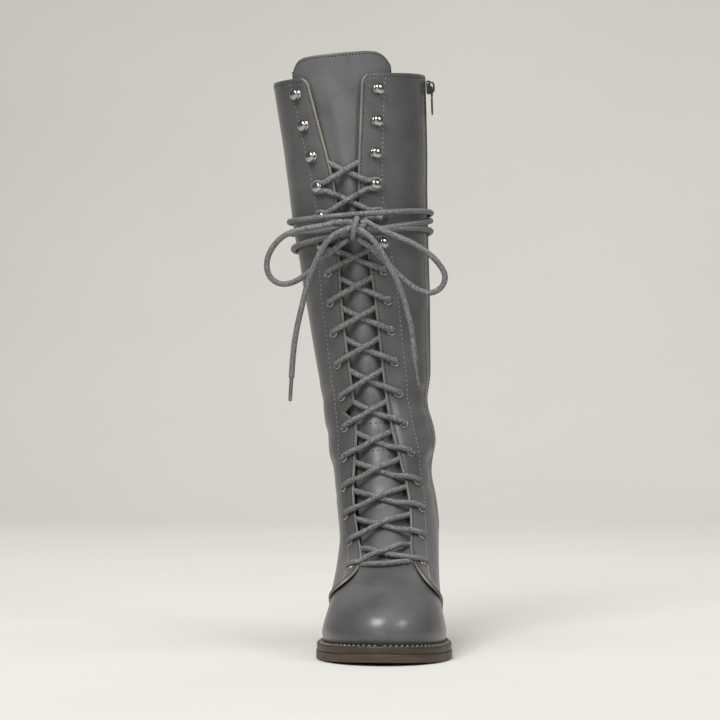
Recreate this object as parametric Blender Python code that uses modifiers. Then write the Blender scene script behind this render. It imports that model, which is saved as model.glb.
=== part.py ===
"""Tall lace-up boot for the right foot: sole, hollow upper, tongue, hardware and lace as separate solids.

The toe points to -Y, the inner (medial) side of the foot to +X, and the middle of the heel stands on the
origin.
"""

import math

import bmesh
import bpy
import numpy as np
from mathutils import Matrix, Vector

MM = 0.001
GAP = 0.3

# Sole, in millimetres along the foot
TOE_TIP = -224.0
FLAT_FRONT = -162.0
FLAT_BACK = -122.0
HEEL_BREAST = -30.0
TOE_SPRING = 2.5
HEEL_SEAT = 27.0
HEEL_SLOPE = 0.09
OUTSOLE_THICKNESS = 6.0
WELT_THICKNESS = 5.2
TOP_PIECE_THICKNESS = 6.0
HEEL_TAPER = 2.0
EDGE_BEVEL = 0.9
WELT_SETBACK = 0.5
INSOLE_RISE = 3.0

# Leather of the upper: the quarters and shaft lie over the vamp as a step in the wall
WALL = 1.9
QUARTER_STEP = 0.9
TONGUE_THICKNESS = 2.0
TONGUE_CLEARANCE = 0.9

# Width of the ring at five stations from the toe to the back of the heel
STATIONS = {"toe": 0.0, "ball": 0.30, "waist": 0.58, "heel": 0.85, "back": 1.0}
SOLE_MARGIN = {"toe": 6.5, "ball": 5.2, "waist": 3.0, "heel": 1.8, "back": 1.8}


def sole_underside(y):
    """Height of the bottom of the outsole: toe spring, flat tread, arch and heel seat."""
    toe = np.clip((FLAT_FRONT - y) / (FLAT_FRONT - TOE_TIP), 0, None)
    span = HEEL_BREAST - FLAT_BACK
    arch = np.clip((y - FLAT_BACK) / span, 0, 1)
    rise = HEEL_SEAT * (3 * arch**2 - 2 * arch**3) + HEEL_SLOPE * span * (arch**3 - arch**2)
    return TOE_SPRING * toe**2 + rise + HEEL_SLOPE * np.clip(y - HEEL_BREAST, 0, None)


def welt_underside(y):
    return sole_underside(y) + OUTSOLE_THICKNESS + GAP


def feather_height(y):
    """Height of the line where the upper stands on the welt."""
    return welt_underside(y) + WELT_THICKNESS + GAP


# One row for each ring of the upper, from the feather line up to the collar. A ring lies in a plane through
# its front and back points. sag is how far it follows the bend of the sole, the widths are those of an oval
# with the ring's length, the x values place its centre line, and lean tips it towards the leg's outer side.
FEATHER_FRONT, FEATHER_BACK = -217.0, 31.0
RING_COLUMNS = (
    "front_y", "front_z", "back_y", "back_z", "sag",
    "toe", "ball", "waist", "heel", "back",
    "front_x", "mid_x", "back_x", "lean",
)
RINGS = {
    "feather": (
        FEATHER_FRONT, feather_height(FEATHER_FRONT), FEATHER_BACK, feather_height(FEATHER_BACK), 1.0,
        62.0, 46.8, 32.5, 40.0, 54.0, 17.2, 10.4, 0.0, 0.0,
    ),
    "toe wall": (-219.0, 21.5, 34.6, 50.0, 0.88, 65.0, 48.0, 34.0, 42.5, 57.0, 17.2, 10.4, 0.0, 0.0),
    "toe crown": (-212.5, 36.0, 36.4, 64.0, 0.66, 63.0, 43.6, 34.0, 43.0, 56.0, 17.6, 10.6, 0.0, 0.0),
    "toe top": (-193.0, 48.5, 35.4, 78.0, 0.42, 57.0, 40.8, 34.6, 42.0, 53.0, 17.2, 10.2, 0.0, 0.0),
    "vamp": (-161.0, 60.5, 32.8, 92.0, 0.22, 49.0, 38.9, 35.2, 40.5, 49.0, 16.0, 9.6, 0.0, 0.05),
    "throat base": (-130.0, 73.0, 30.2, 105.0, 0.08, 43.4, 37.3, 35.6, 39.0, 45.0, 12.8, 8.4, 0.0, 0.09),
    "instep": (-101.0, 97.5, 27.4, 123.0, 0.0, 40.0, 36.8, 35.6, 37.3, 41.5, 7.8, 4.8, 0.0, 0.1),
    "instep top": (-82.0, 126.5, 26.0, 142.0, 0.0, 39.0, 37.0, 36.2, 36.8, 39.5, 3.0, 1.6, 0.2, 0.09),
    "ankle": (-67.0, 161.0, 27.0, 165.0, 0.0, 40.0, 38.8, 38.2, 38.4, 39.5, -1.8, -1.2, -1.8, 0.07),
    "above ankle": (-60.5, 199.0, 31.0, 199.0, 0.0, 41.5, 40.8, 40.5, 40.6, 41.0, -7.4, -5.5, -5.4, 0.045),
    "lower shaft": (-57.5, 249.0, 39.0, 249.0, 0.0, 45.6, 45.0, 44.7, 45.0, 45.4, -13.6, -10.7, -9.8, 0.03),
    "calf": (-57.5, 313.0, 50.0, 313.0, 0.0, 50.0, 49.4, 49.1, 49.3, 49.8, -20.0, -17.2, -16.0, 0.04),
    "upper calf": (-59.0, 371.0, 56.0, 371.0, 0.0, 53.2, 52.7, 52.6, 52.7, 53.0, -26.4, -21.6, -20.2, 0.052),
    "collar": (-61.0, 421.0, 58.0, 421.0, 0.0, 56.2, 55.8, 55.7, 55.8, 56.0, -32.4, -26.0, -24.2, 0.062),
}
RING_TABLE = np.array(list(RINGS.values()), float)
RING_NAMES = list(RINGS)
THROAT_BASE = RING_NAMES.index("throat base")
COLLAR = RING_NAMES.index("collar")

# Folds of the worn ankle: height, angle round the ring from the front, half height, half angle, swell
FOLDS = (
    (180.0, 95.0, 13.0, 42.0, -3.4),
    (151.0, 92.0, 12.0, 48.0, 2.0),
    (126.0, 95.0, 12.0, 45.0, -1.6),
    (167.0, 265.0, 12.0, 40.0, 1.0),
    (143.0, 268.0, 11.0, 40.0, 1.1),
    (123.0, 265.0, 10.0, 40.0, -1.0),
)

# Half width of the throat by height of the front ridge, and below it the angle of the quarters' front edge
# by ring
THROAT_HEIGHTS = (72.0, 85.0, 112.0, 126.0, 154.0, 193.0, 212.0, 257.0, 281.0, 333.0, 361.0, 382.0, 422.0)
THROAT_HALF_GAPS = (19.6, 21.6, 21.8, 19.4, 13.8, 12.0, 12.2, 12.2, 11.0, 8.4, 11.6, 15.1, 21.6)
QUARTER_EDGE = {"feather": 88.0, "toe wall": 82.0, "toe crown": 68.0, "toe top": 42.0, "vamp": 28.0}
NOTCH_HEIGHT, NOTCH_HALF_HEIGHT, NOTCH_DEPTH = 173.0, 7.0, 10.0
CORNER_RADIUS = 7.0

# Tongue: half width by ring, and how far it stands above the collar
TONGUE_HALF_WIDTHS = {
    "vamp": 20.0, "throat base": 26.0, "instep top": 28.0, "lower shaft": 26.0, "collar": 46.0,
}
TONGUE_FOOT = THROAT_BASE - 0.6
TONGUE_RISE = 0.33
TONGUE_CORNER, TONGUE_SQUARENESS, TONGUE_TILT = 0.26, 7, 0.03
TONGUE_TURN = 4.0

# Hardware
ROWS_OF_HARDWARE = 17
ROWS_OF_HOOKS = 6
# Heights of the fastenings by the front ridge, hooks first
HARDWARE_HEIGHTS = (
    409.5, 386.0, 362.5, 339.5, 317.5, 296.5,
    276.0, 254.0, 231.5, 208.5, 185.0, 162.0, 139.5, 117.0, 96.0, 77.5, 61.5,
)
HOOK_SETBACK, EYELET_SETBACK, HARDWARE_SEAT = 12.0, 10.0, 0.8
EYELET_RADIUS, EYELET_HOLE, EYELET_HEIGHT, EYELET_CHAMFER = 3.4, 2.3, 0.9, 0.3
HOOK_RADIUS, HOOK_HEIGHT = 4.1, 5.2
# Profile of a hook from its top, as shares of its radius and height: ball, neck and foot
HOOK_PROFILE = (
    (0.0, 1.0), (0.7, 0.85), (1.0, 0.57), (0.55, 0.33), (0.85, 0.17), (0.85, 0.0), (0.0, 0.0),
)
ZIP_ANGLE = 90.0
ZIP_FOOT, ZIP_HEAD = 4.6, COLLAR - 0.06
ZIP_HALF_WIDTH, ZIP_THICKNESS = 5.0, 0.7
SLIDER_HEIGHT = 415.0
SLIDER_SIZE, SLIDER_BEVEL = (8.4, 10.5, 2.6), 0.8
BAIL_RADIUS, BAIL_HALF_SPAN, BAIL_CLEAR = 0.7, 3.6, 1.0
TAB_WIDTH, TAB_LENGTH, TAB_BAR, TAB_RIM, TAB_WINDOW = 6.4, 21.0, 1.0, 1.1, 5.2
TAB_SHOULDER, TAB_SHOULDER_END, TAB_NARROWING, TAB_CORNER = 8.0, 9.5, 0.7, 2.0

# Lace
LACE_RADIUS = 2.15
LACE_CLEARANCE = 1.5
LACE_VAMP_REACH = 0.1
LACE_OVER_LACE = 3.2
LACED_ROWS = 14
# Places along one crossing, from its eyelet to the next one, and the ends of the bar at the bottom eyelets
CROSSING_SHARES = (0.0, 0.22, 0.5, 0.78)
BAR_SHARES = (1.0, 0.33, -0.33)
# Height of the wound lace after each part of a turn: front, inner side, outer side
WRAP_TURNS = (0.0, 0.25, 0.75, 1.0, 1.25, 1.75, 2.0, 2.25, 2.75, 3.0)
WRAP_HEIGHTS = (298.0, 305.5, 294.5, 304.0, 312.5, 307.5, 313.5, 319.0, 316.0, 319.5)
WRAP_CLEARANCE = 2.6
WRAP_FRONT_LIFT, WRAP_FRONT_ANGLE = 5.8, 58.0
KNOT_HEIGHT, KNOT_ANGLE = 308.0, 3.0
KNOT_SIZE = (6.2, 4.6, 9.0)
KNOT_SINK, KNOT_STUB = 1.0, 4.0
AGLET_LENGTH, AGLET_RADIUS = 18.0, 1.5
# Where the bow leaves the knot: across, towards the leg, up
LOOP_EXIT, LOOP_RETURN, END_EXIT = (0.96, 0.1, 0.27), (0.7, 0.1, -0.7), (0.6, -0.78, -0.1)
# Routes of the bow from there on, measured from the middle of the knot
LOOP_LEFT = (
    (-20.0, -2.0, 2.0), (-35.6, -2.5, -0.7), (-51.0, -1.0, -5.9), (-61.2, 1.0, -16.9),
    (-64.2, 2.5, -27.1), (-61.2, 3.5, -36.7), (-53.2, 4.0, -41.1), (-44.0, 4.0, -39.5), (-35.6, 3.5, -34.5),
    (-23.8, 2.6, -24.2), (-13.6, 1.4, -15.4),
)
LOOP_RIGHT = (
    (20.9, -2.0, -1.5), (36.3, -2.5, -8.0), (51.7, -1.0, -16.1), (63.4, 1.0, -27.1),
    (67.4, 2.5, -35.9), (64.2, 3.5, -44.0), (56.1, 4.0, -47.7), (46.6, 4.0, -45.0), (34.5, 3.5, -35.9),
    (20.9, 2.6, -22.5), (12.5, 1.4, -14.6),
)
END_LEFT = (
    (-15.0, -6.6, -6.6), (-22.4, -5.6, -16.0), (-28.0, -4.6, -27.1), (-33.0, -3.4, -39.6),
    (-36.8, -2.4, -54.3), (-40.7, -1.6, -70.4), (-43.6, -1.0, -87.3), (-45.5, -0.6, -110.0),
)
END_RIGHT = (
    (15.8, -6.6, -10.0), (23.4, -5.6, -21.3), (30.0, -4.6, -33.7), (35.0, -3.4, -44.7),
    (39.6, -2.4, -60.1), (43.3, -1.6, -75.5), (44.8, -1.0, -90.9), (45.8, -0.6, -98.3),
)

# Fineness of the meshes
LOWER_ROWS, INSTEP_ROWS, SHAFT_ROWS = 11, 6, 9
QUARTER_COLUMNS, VAMP_COLUMNS, TONGUE_COLUMNS = 30, 15, 9
TOE_STATIONS, TREAD_STATIONS, ARCH_STATIONS, HEEL_STATIONS = 8, 3, 19, 14
TURNED_STEPS, KNOT_SEGMENTS, KNOT_RINGS = 8, 14, 8
WRAP_POINTS, LOOP_POINTS, END_POINTS = 48, 22, 13
SHARP_ANGLE = 35.0

# Looks
COLOURS = {
    "leather": ((0.105, 0.108, 0.112), 0.45, 0.0),
    "welt": ((0.035, 0.024, 0.018), 0.55, 0.0),
    "outsole": ((0.055, 0.036, 0.025), 0.6, 0.0),
    "rubber": ((0.02, 0.019, 0.018), 0.8, 0.0),
    "insole": ((0.33, 0.25, 0.17), 0.7, 0.0),
    "nickel": ((0.62, 0.61, 0.59), 0.22, 1.0),
    "lace": ((0.085, 0.086, 0.088), 0.75, 0.0),
    "tape": ((0.03, 0.03, 0.032), 0.8, 0.0),
}


def spline_weights(knots, points):
    """Weights that carry values at the knots to the points along a natural cubic spline."""
    knots = np.asarray(knots, float)
    points = np.ravel(np.asarray(points, float))
    count = len(knots)
    step = np.diff(knots)
    system = np.eye(count)
    pull = np.zeros((count, count))
    for k in range(1, count - 1):
        system[k, k - 1 : k + 2] = step[k - 1], 2 * (step[k - 1] + step[k]), step[k]
        pull[k, k - 1 : k + 2] = 6 / step[k - 1], -6 / step[k - 1] - 6 / step[k], 6 / step[k]
    bend = np.linalg.solve(system, pull)
    left = np.clip(np.searchsorted(knots, points, side="right") - 1, 0, count - 2)
    width = step[left]
    after = (points - knots[left]) / width
    before = 1 - after
    unit = np.eye(count)
    straight = before[:, None] * unit[left] + after[:, None] * unit[left + 1]
    bent_left = ((before**3 - before) * width**2 / 6)[:, None] * bend[left]
    bent_right = ((after**3 - after) * width**2 / 6)[:, None] * bend[left + 1]
    return straight + bent_left + bent_right


def base_skin(angle, row):
    """Points of the last's surface in millimetres; angle runs round a ring from its front, +X first."""
    angle, row = np.broadcast_arrays(np.asarray(angle, float), np.asarray(row, float))
    shape = angle.shape
    angle, row = angle.ravel(), row.ravel()
    ring = dict(zip(RING_COLUMNS, (spline_weights(range(len(RINGS)), row) @ RING_TABLE).T))
    along = (1 - np.cos(angle)) / 2
    by_station = spline_weights(list(STATIONS.values()), along)
    half_width = sum(by_station[:, k] * ring[name] for k, name in enumerate(STATIONS))
    to_side = half_width * np.sin(angle)
    centre = (
        ring["front_x"] * (1 - along) * (1 - 2 * along)
        + ring["mid_x"] * 4 * along * (1 - along)
        + ring["back_x"] * along * (2 * along - 1)
    )
    y = ring["front_y"] + along * (ring["back_y"] - ring["front_y"])
    chord = ring["front_z"] + along * (ring["back_z"] - ring["front_z"])
    ends = feather_height(FEATHER_FRONT), feather_height(FEATHER_BACK)
    level = ends[0] + (y - FEATHER_FRONT) / (FEATHER_BACK - FEATHER_FRONT) * (ends[1] - ends[0])
    z = chord + ring["sag"] * (feather_height(y) - level) + ring["lean"] * to_side
    return np.stack([centre + to_side, y, z], axis=-1).reshape(shape + (3,))


def normals(angle, row):
    """Outward normals of the surface, level at the feather line so that the edge stands on the welt."""
    nudge = 1e-3
    across = base_skin(angle + nudge, row) - base_skin(angle - nudge, row)
    upward = base_skin(angle, row + nudge) - base_skin(angle, row - nudge)
    outward = np.cross(across, upward)
    outward[..., 2] *= np.clip(row, 0, 1)
    return outward / np.linalg.norm(outward, axis=-1, keepdims=True)


def fold_swell(points, angle):
    swell = np.zeros(points.shape[:-1])
    degrees = np.degrees(angle) % 360
    for height, middle, half_height, half_angle, size in FOLDS:
        near = ((points[..., 2] - height) / half_height) ** 2 + ((degrees - middle) / half_angle) ** 2
        swell += size * np.exp(-near)
    return swell


def skin(angle, row, out=0.0):
    """Points in millimetres at a distance outside the last's surface, with the folds of the ankle."""
    angle, row = np.broadcast_arrays(np.asarray(angle, float), np.asarray(row, float))
    points = base_skin(angle, row)
    distance = np.asarray(out) + fold_swell(points, angle)
    return points + normals(angle, row) * distance[..., None]


def row_at_height(height, angle=0.0):
    """Ring position at which the surface has this height at this angle, above the toe."""
    rows = np.linspace(1.5, COLLAR + 0.5, 600)
    return np.interp(height, base_skin(np.full(rows.shape, angle), rows)[:, 2], rows)


def angle_of_arc(distance, row):
    """Angle from the front ridge that lies this far round the ring."""
    steps = np.linspace(0, math.pi / 2, 60)
    line = base_skin(steps, np.full(steps.shape, float(row)))
    run = np.concatenate([[0], np.cumsum(np.linalg.norm(np.diff(line, axis=0), axis=1))])
    return float(np.interp(distance, run, steps))


def edge_angle(row, lateral):
    """Angle of the quarters' front edge: the throat above its base, the derby seam below it."""
    if row < THROAT_BASE:
        rows = [RING_NAMES.index(name) for name in QUARTER_EDGE] + [THROAT_BASE]
        angles = list(QUARTER_EDGE.values()) + [math.degrees(edge_angle(THROAT_BASE, False))]
        return math.radians((spline_weights(rows, [row]) @ np.array(angles))[0])
    height = base_skin(0.0, row)[2]
    gap = (spline_weights(THROAT_HEIGHTS, [height]) @ np.array(THROAT_HALF_GAPS))[0]
    if lateral:
        gap += NOTCH_DEPTH * max(0.0, 1 - abs(height - NOTCH_HEIGHT) / NOTCH_HALF_HEIGHT)
    below_collar = base_skin(0.0, COLLAR)[2] - height
    if below_collar < CORNER_RADIUS:
        inset = CORNER_RADIUS - below_collar
        gap += CORNER_RADIUS - math.sqrt(max(CORNER_RADIUS**2 - inset**2, 0.0))
    return angle_of_arc(gap, row)


def upper_rows():
    """Ring positions of the upper's mesh, with rows for the notch and the corner at the collar."""
    lower = np.linspace(0, THROAT_BASE, LOWER_ROWS)
    notch = [row_at_height(NOTCH_HEIGHT + k * NOTCH_HALF_HEIGHT) for k in (-1, 0, 1)]
    corner = [row_at_height(RINGS["collar"][1] - CORNER_RADIUS * k) for k in (1.0, 0.5, 0.15)]
    below = np.linspace(THROAT_BASE, notch[0], INSTEP_ROWS)[1:]
    above = np.linspace(notch[2], corner[0], SHAFT_ROWS)
    return np.concatenate([lower, below, [notch[1]], above, corner[1:], [COLLAR]])


def new_object(name, mesh, material):
    obj = bpy.data.objects.new(name, mesh)
    mesh.materials.append(bpy.data.materials[material])
    bpy.data.collections["tall_lace_up_boot"].objects.link(obj)
    return obj


def mesh_from(name, vertices, faces):
    """Mesh of millimetre points, welded and facing out."""
    mesh = bpy.data.meshes.new(name)
    mesh.from_pydata([tuple(point * MM) for point in np.asarray(vertices, float)], [], faces)
    work = bmesh.new()
    work.from_mesh(mesh)
    bmesh.ops.remove_doubles(work, verts=work.verts, dist=1e-6)
    bmesh.ops.recalc_face_normals(work, faces=work.faces)
    work.to_mesh(mesh)
    work.free()
    mesh.shade_smooth()
    mesh.set_sharp_from_angle(angle=math.radians(SHARP_ANGLE))
    return mesh


class Grids:
    """Collects grids of points and the faces between them."""

    def __init__(self):
        self.points = []
        self.faces = []

    def add(self, grid):
        """Keeps a grid of points and returns the number of each."""
        first = len(self.points)
        self.points.extend(grid.reshape(-1, 3))
        return first + np.arange(grid[..., 0].size).reshape(grid.shape[:-1])

    def fill(self, index):
        for low, high in zip(index[:-1], index[1:]):
            self.bridge(low, high)

    def bridge(self, low, high):
        for k in range(len(low) - 1):
            self.faces.append([int(low[k]), int(low[k + 1]), int(high[k + 1]), int(high[k])])


def make_upper():
    """Vamp, quarters and shaft as one wall, open at collar and throat and underneath."""
    rows = upper_rows()
    base = int(np.argmin(np.abs(rows - THROAT_BASE)))
    turn = np.linspace(0, 1, QUARTER_COLUMNS)
    medial = np.array([edge_angle(row, False) for row in rows])
    lateral = np.array([edge_angle(row, True) for row in rows])
    quarter = medial[:, None] + turn * (2 * math.pi - lateral - medial)[:, None]
    across = np.linspace(0, 1, VAMP_COLUMNS)
    vamp = -lateral[: base + 1, None] + across * (lateral + medial)[: base + 1, None]
    quarter_rows = np.repeat(rows[:, None], len(turn), axis=1)
    vamp_rows = np.repeat(rows[: base + 1, None], len(across), axis=1)
    grids = Grids()
    outer = grids.add(skin(quarter, quarter_rows, QUARTER_STEP))
    inner = grids.add(skin(quarter, quarter_rows, -WALL))
    vamp_outer = grids.add(skin(vamp, vamp_rows))
    vamp_inner = grids.add(skin(vamp, vamp_rows, -WALL))
    for layer in (outer, inner, vamp_outer, vamp_inner):
        grids.fill(layer)
    grids.bridge(outer[-1], inner[-1])
    grids.bridge(outer[0], inner[0])
    grids.bridge(vamp_outer[0], vamp_inner[0])
    grids.bridge(vamp_outer[-1], vamp_inner[-1])
    for column, seam in ((0, -1), (-1, 0)):
        grids.bridge(outer[: base + 1, column], vamp_outer[:, seam])
        grids.bridge(outer[base + 1 :, column], inner[base + 1 :, column])
        grids.faces.append([int(n) for n in (
            outer[base, column], outer[base + 1, column], inner[base + 1, column], inner[base, column],
            vamp_outer[-1, seam],
        )])
        grids.faces.append([int(n) for n in (outer[0, column], inner[0, column], vamp_outer[0, seam])])
    new_object("upper", mesh_from("upper", grids.points, grids.faces), "leather")


def make_sheet(name, angle, row, outside, inside, material):
    """Closed sheet of leather or tape that follows the last between two distances from it."""
    grids = Grids()
    outer = grids.add(skin(angle, row, outside))
    inner = grids.add(skin(angle, row, inside))
    grids.fill(outer)
    grids.fill(inner)
    for rim in (np.s_[0, :], np.s_[-1, :], np.s_[:, 0], np.s_[:, -1]):
        grids.bridge(outer[rim], inner[rim])
    new_object(name, mesh_from(name, grids.points, grids.faces), material)


def make_tongue():
    across = np.sin(np.linspace(-math.pi / 2, math.pi / 2, TONGUE_COLUMNS))
    ring_of_width = [RING_NAMES.index(name) for name in TONGUE_HALF_WIDTHS]
    top = COLLAR + TONGUE_RISE + TONGUE_TILT * across - TONGUE_CORNER * np.abs(across) ** TONGUE_SQUARENESS
    shared = [TONGUE_FOOT] + [row for row in upper_rows() if row > TONGUE_FOOT]
    rows = np.vstack([np.repeat(np.array(shared)[:, None], len(across), axis=1), top])
    angles = np.zeros(rows.shape)
    for k, row in enumerate(rows[:, len(across) // 2]):
        half = np.interp(row, ring_of_width, list(TONGUE_HALF_WIDTHS.values()))
        angles[k] = across * angle_of_arc(half, row) + math.radians(TONGUE_TURN) * row / COLLAR
    outside = -WALL - TONGUE_CLEARANCE
    make_sheet("tongue", angles, rows, outside, outside - TONGUE_THICKNESS, "leather")


def sole_line(angles, margin, height, side):
    """Edge of a sole layer on one side: the feather line moved out by a margin, at a height by place."""
    turn = side * angles
    line = base_skin(turn, np.zeros(angles.shape))
    outward = normals(turn, np.zeros(angles.shape))
    along = (1 - np.cos(angles)) / 2
    extra = spline_weights(list(STATIONS.values()), along) @ np.broadcast_to(margin, len(STATIONS))
    line = line + outward * extra[:, None]
    line[:, 2] = height(line[:, 1])
    return line


def make_slab(name, angles, levels, material):
    """Layer of the sole: levels of (margin, height by place) from the bottom up, capped straight across."""
    grids = Grids()
    loops = []
    for margin, height in levels:
        right = grids.add(sole_line(angles, margin, height, 1))
        left = grids.add(sole_line(angles, margin, height, -1))
        loops.append((right, left))
    for low, high in zip(loops[:-1], loops[1:]):
        for side in (0, 1):
            grids.bridge(low[side], high[side])
        for end in (0, -1):
            grids.faces.append([int(n) for n in (low[0][end], high[0][end], high[1][end], low[1][end])])
    for right, left in (loops[0], loops[-1]):
        grids.bridge(right, left)
    new_object(name, mesh_from(name, grids.points, grids.faces), material)


def station_angle(y):
    """Angle of the sole's ring at a place along the foot."""
    return math.acos(1 - 2 * (y - FEATHER_FRONT) / (FEATHER_BACK - FEATHER_FRONT))


def sole_margins(inset=0.0):
    return np.array(list(SOLE_MARGIN.values())) - inset


def sole_angles():
    """Stations shared by the layers of the sole, so that they bend at the same places."""
    flat_angles = [station_angle(FLAT_FRONT), station_angle(FLAT_BACK)]
    return np.concatenate([
        np.linspace(0, flat_angles[0], TOE_STATIONS)[:-1],
        np.linspace(flat_angles[0], flat_angles[1], TREAD_STATIONS)[:-1],
        np.linspace(flat_angles[1], math.pi, ARCH_STATIONS),
    ])


def make_outsole():
    top = OUTSOLE_THICKNESS
    levels = (
        (sole_margins(EDGE_BEVEL), sole_underside),
        (sole_margins(), lambda y: sole_underside(y) + EDGE_BEVEL),
        (sole_margins(), lambda y: sole_underside(y) + top - EDGE_BEVEL / 2),
        (sole_margins(EDGE_BEVEL / 2), lambda y: sole_underside(y) + top),
    )
    make_slab("outsole", sole_angles(), levels, "outsole")


def make_insole():
    inset = -WALL - 2 * GAP
    levels = (
        (inset, welt_underside),
        (inset, lambda y: feather_height(y) + INSOLE_RISE),
    )
    make_slab("insole", sole_angles(), levels, "insole")


def make_welt():
    """Strip all round the upper's edge, between the outsole and the leather."""

    def ring(margin, height):
        right = sole_line(sole_angles(), margin, height, 1)
        left = sole_line(sole_angles(), margin, height, -1)
        return np.concatenate([right, left[::-1]])

    def top(y):
        return welt_underside(y) + WELT_THICKNESS

    grids = Grids()
    loops = [
        grids.add(ring(-WALL, welt_underside)),
        grids.add(ring(sole_margins(WELT_SETBACK), welt_underside)),
        grids.add(ring(sole_margins(WELT_SETBACK), lambda y: top(y) - EDGE_BEVEL)),
        grids.add(ring(sole_margins(WELT_SETBACK + EDGE_BEVEL), top)),
        grids.add(ring(-WALL, top)),
    ]
    for low, high in zip(loops, loops[1:] + loops[:1]):
        grids.bridge(low, high)
    new_object("welt", mesh_from("welt", grids.points, grids.faces), "welt")


def make_heel():
    angles = np.linspace(station_angle(HEEL_BREAST), math.pi, HEEL_STATIONS)

    def flat(height):
        return lambda y: np.full(np.shape(y), height)

    stack = (
        (sole_margins(HEEL_TAPER), flat(TOP_PIECE_THICKNESS + GAP)),
        (sole_margins(), lambda y: sole_underside(y) - GAP),
    )
    make_slab("heel_stack", angles, stack, "welt")
    top_piece = (
        (sole_margins(HEEL_TAPER + EDGE_BEVEL), flat(0.0)),
        (sole_margins(HEEL_TAPER), flat(EDGE_BEVEL)),
        (sole_margins(HEEL_TAPER), flat(TOP_PIECE_THICKNESS)),
    )
    make_slab("heel_top_piece", angles, top_piece, "rubber")


def hardware_places():
    """(row, angle) of each fastening down one side, top first: hooks, then eyelets."""
    places = []
    for number, height in enumerate(HARDWARE_HEIGHTS):
        row = row_at_height(height)
        edge = edge_angle(max(row, THROAT_BASE), False)
        setback = HOOK_SETBACK if number < ROWS_OF_HOOKS else EYELET_SETBACK
        places.append((row, edge + angle_of_arc(setback, row)))
    return places


def stand_on_skin(obj, angle, row, out):
    """Places an object with its Z along the surface's normal, its Y up the leg."""
    normal = Vector(normals(np.array(angle), np.array(row)))
    side = Vector((0, 0, 1)).cross(normal).normalized()
    frame = Matrix((side, normal.cross(side), normal)).transposed().to_4x4()
    obj.matrix_world = Matrix.Translation(Vector(skin(angle, row, out) * MM)) @ frame
    return obj


def make_turned(name, profile, steps, material):
    """Turned piece: a profile of (radius, height) pairs, down its outer side, under a Screw modifier."""
    mesh = bpy.data.meshes.new(name)
    edges = [(k, k + 1) for k in range(len(profile) - 1)]
    mesh.from_pydata([(radius * MM, 0, height * MM) for radius, height in profile], edges, [])
    obj = new_object(name, mesh, material)
    turn = obj.modifiers.new("turn", "SCREW")
    turn.steps = turn.render_steps = steps
    turn.use_merge_vertices = True
    turn.merge_threshold = 1e-6
    return obj


def make_hardware():
    ring = (
        (EYELET_HOLE, EYELET_HEIGHT), (EYELET_RADIUS - EYELET_CHAMFER, EYELET_HEIGHT), (EYELET_RADIUS, 0.0),
        (EYELET_HOLE, 0.0), (EYELET_HOLE, EYELET_HEIGHT),
    )
    ball = [(across * HOOK_RADIUS, up * HOOK_HEIGHT) for across, up in HOOK_PROFILE]
    for number, (row, angle) in enumerate(hardware_places(), start=1):
        hook = number <= ROWS_OF_HOOKS
        for side, turn in (("medial", 1), ("lateral", -1)):
            kind = "hook" if hook else "eyelet"
            profile = ball if hook else ring
            piece = make_turned(f"{kind}_{side}_{number:02d}", profile, TURNED_STEPS, "nickel")
            stand_on_skin(piece, turn * angle, row, QUARTER_STEP + HARDWARE_SEAT)


def solid_tube(name, points, radius, material):
    """Round cord along points in millimetres, as a curve with filled caps."""
    data = bpy.data.curves.new(name, "CURVE")
    data.dimensions = "3D"
    data.bevel_depth = radius * MM
    data.bevel_resolution = 2
    data.use_fill_caps = True
    spline = data.splines.new("POLY")
    spline.points.add(len(points) - 1)
    for spot, point in zip(spline.points, points):
        spot.co = (*(np.asarray(point) * MM), 1)
    return new_object(name, data, material)


def as_mesh(curve):
    """Replaces a curve object by its mesh, caps welded, so that it can be joined."""
    name = curve.name
    bpy.context.view_layer.update()
    mesh = bpy.data.meshes.new_from_object(curve.evaluated_get(bpy.context.evaluated_depsgraph_get()))
    work = bmesh.new()
    work.from_mesh(mesh)
    bmesh.ops.remove_doubles(work, verts=work.verts, dist=1e-6)
    bmesh.ops.recalc_face_normals(work, faces=work.faces)
    work.to_mesh(mesh)
    work.free()
    obj = bpy.data.objects.new(name, mesh)
    obj.matrix_world = curve.matrix_world
    bpy.data.objects.remove(curve)
    obj.name = name
    bpy.data.collections["tall_lace_up_boot"].objects.link(obj)
    return obj


def join(piece, other):
    """Boolean union of two meshes; the second becomes a hidden helper."""
    union = piece.modifiers.new("join", "BOOLEAN")
    union.operation = "UNION"
    union.object = other
    other.hide_render = True
    other.display_type = "WIRE"
    bpy.data.collections["tall_lace_up_boot"].objects.unlink(other)
    bpy.data.collections["cutters"].objects.link(other)


def smooth_route(points, count):
    """Points evenly along a smooth curve through the given ones."""
    points = np.asarray(points, float)
    run = np.concatenate([[0], np.cumsum(np.linalg.norm(np.diff(points, axis=0), axis=1))])
    return spline_weights(run, np.linspace(0, run[-1], count)) @ points


def lace_places():
    """(row, angle) where the lace turns, bottom first: over each eyelet, and beside each hook."""
    beside_hook = HOOK_RADIUS + LACE_RADIUS + 2 * GAP
    places = []
    for number, (row, angle) in enumerate(hardware_places(), start=1):
        if number <= ROWS_OF_HOOKS:
            angle -= angle_of_arc(beside_hook, row)
        places.append((row, angle))
    return places[::-1][:LACED_ROWS]


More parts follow.
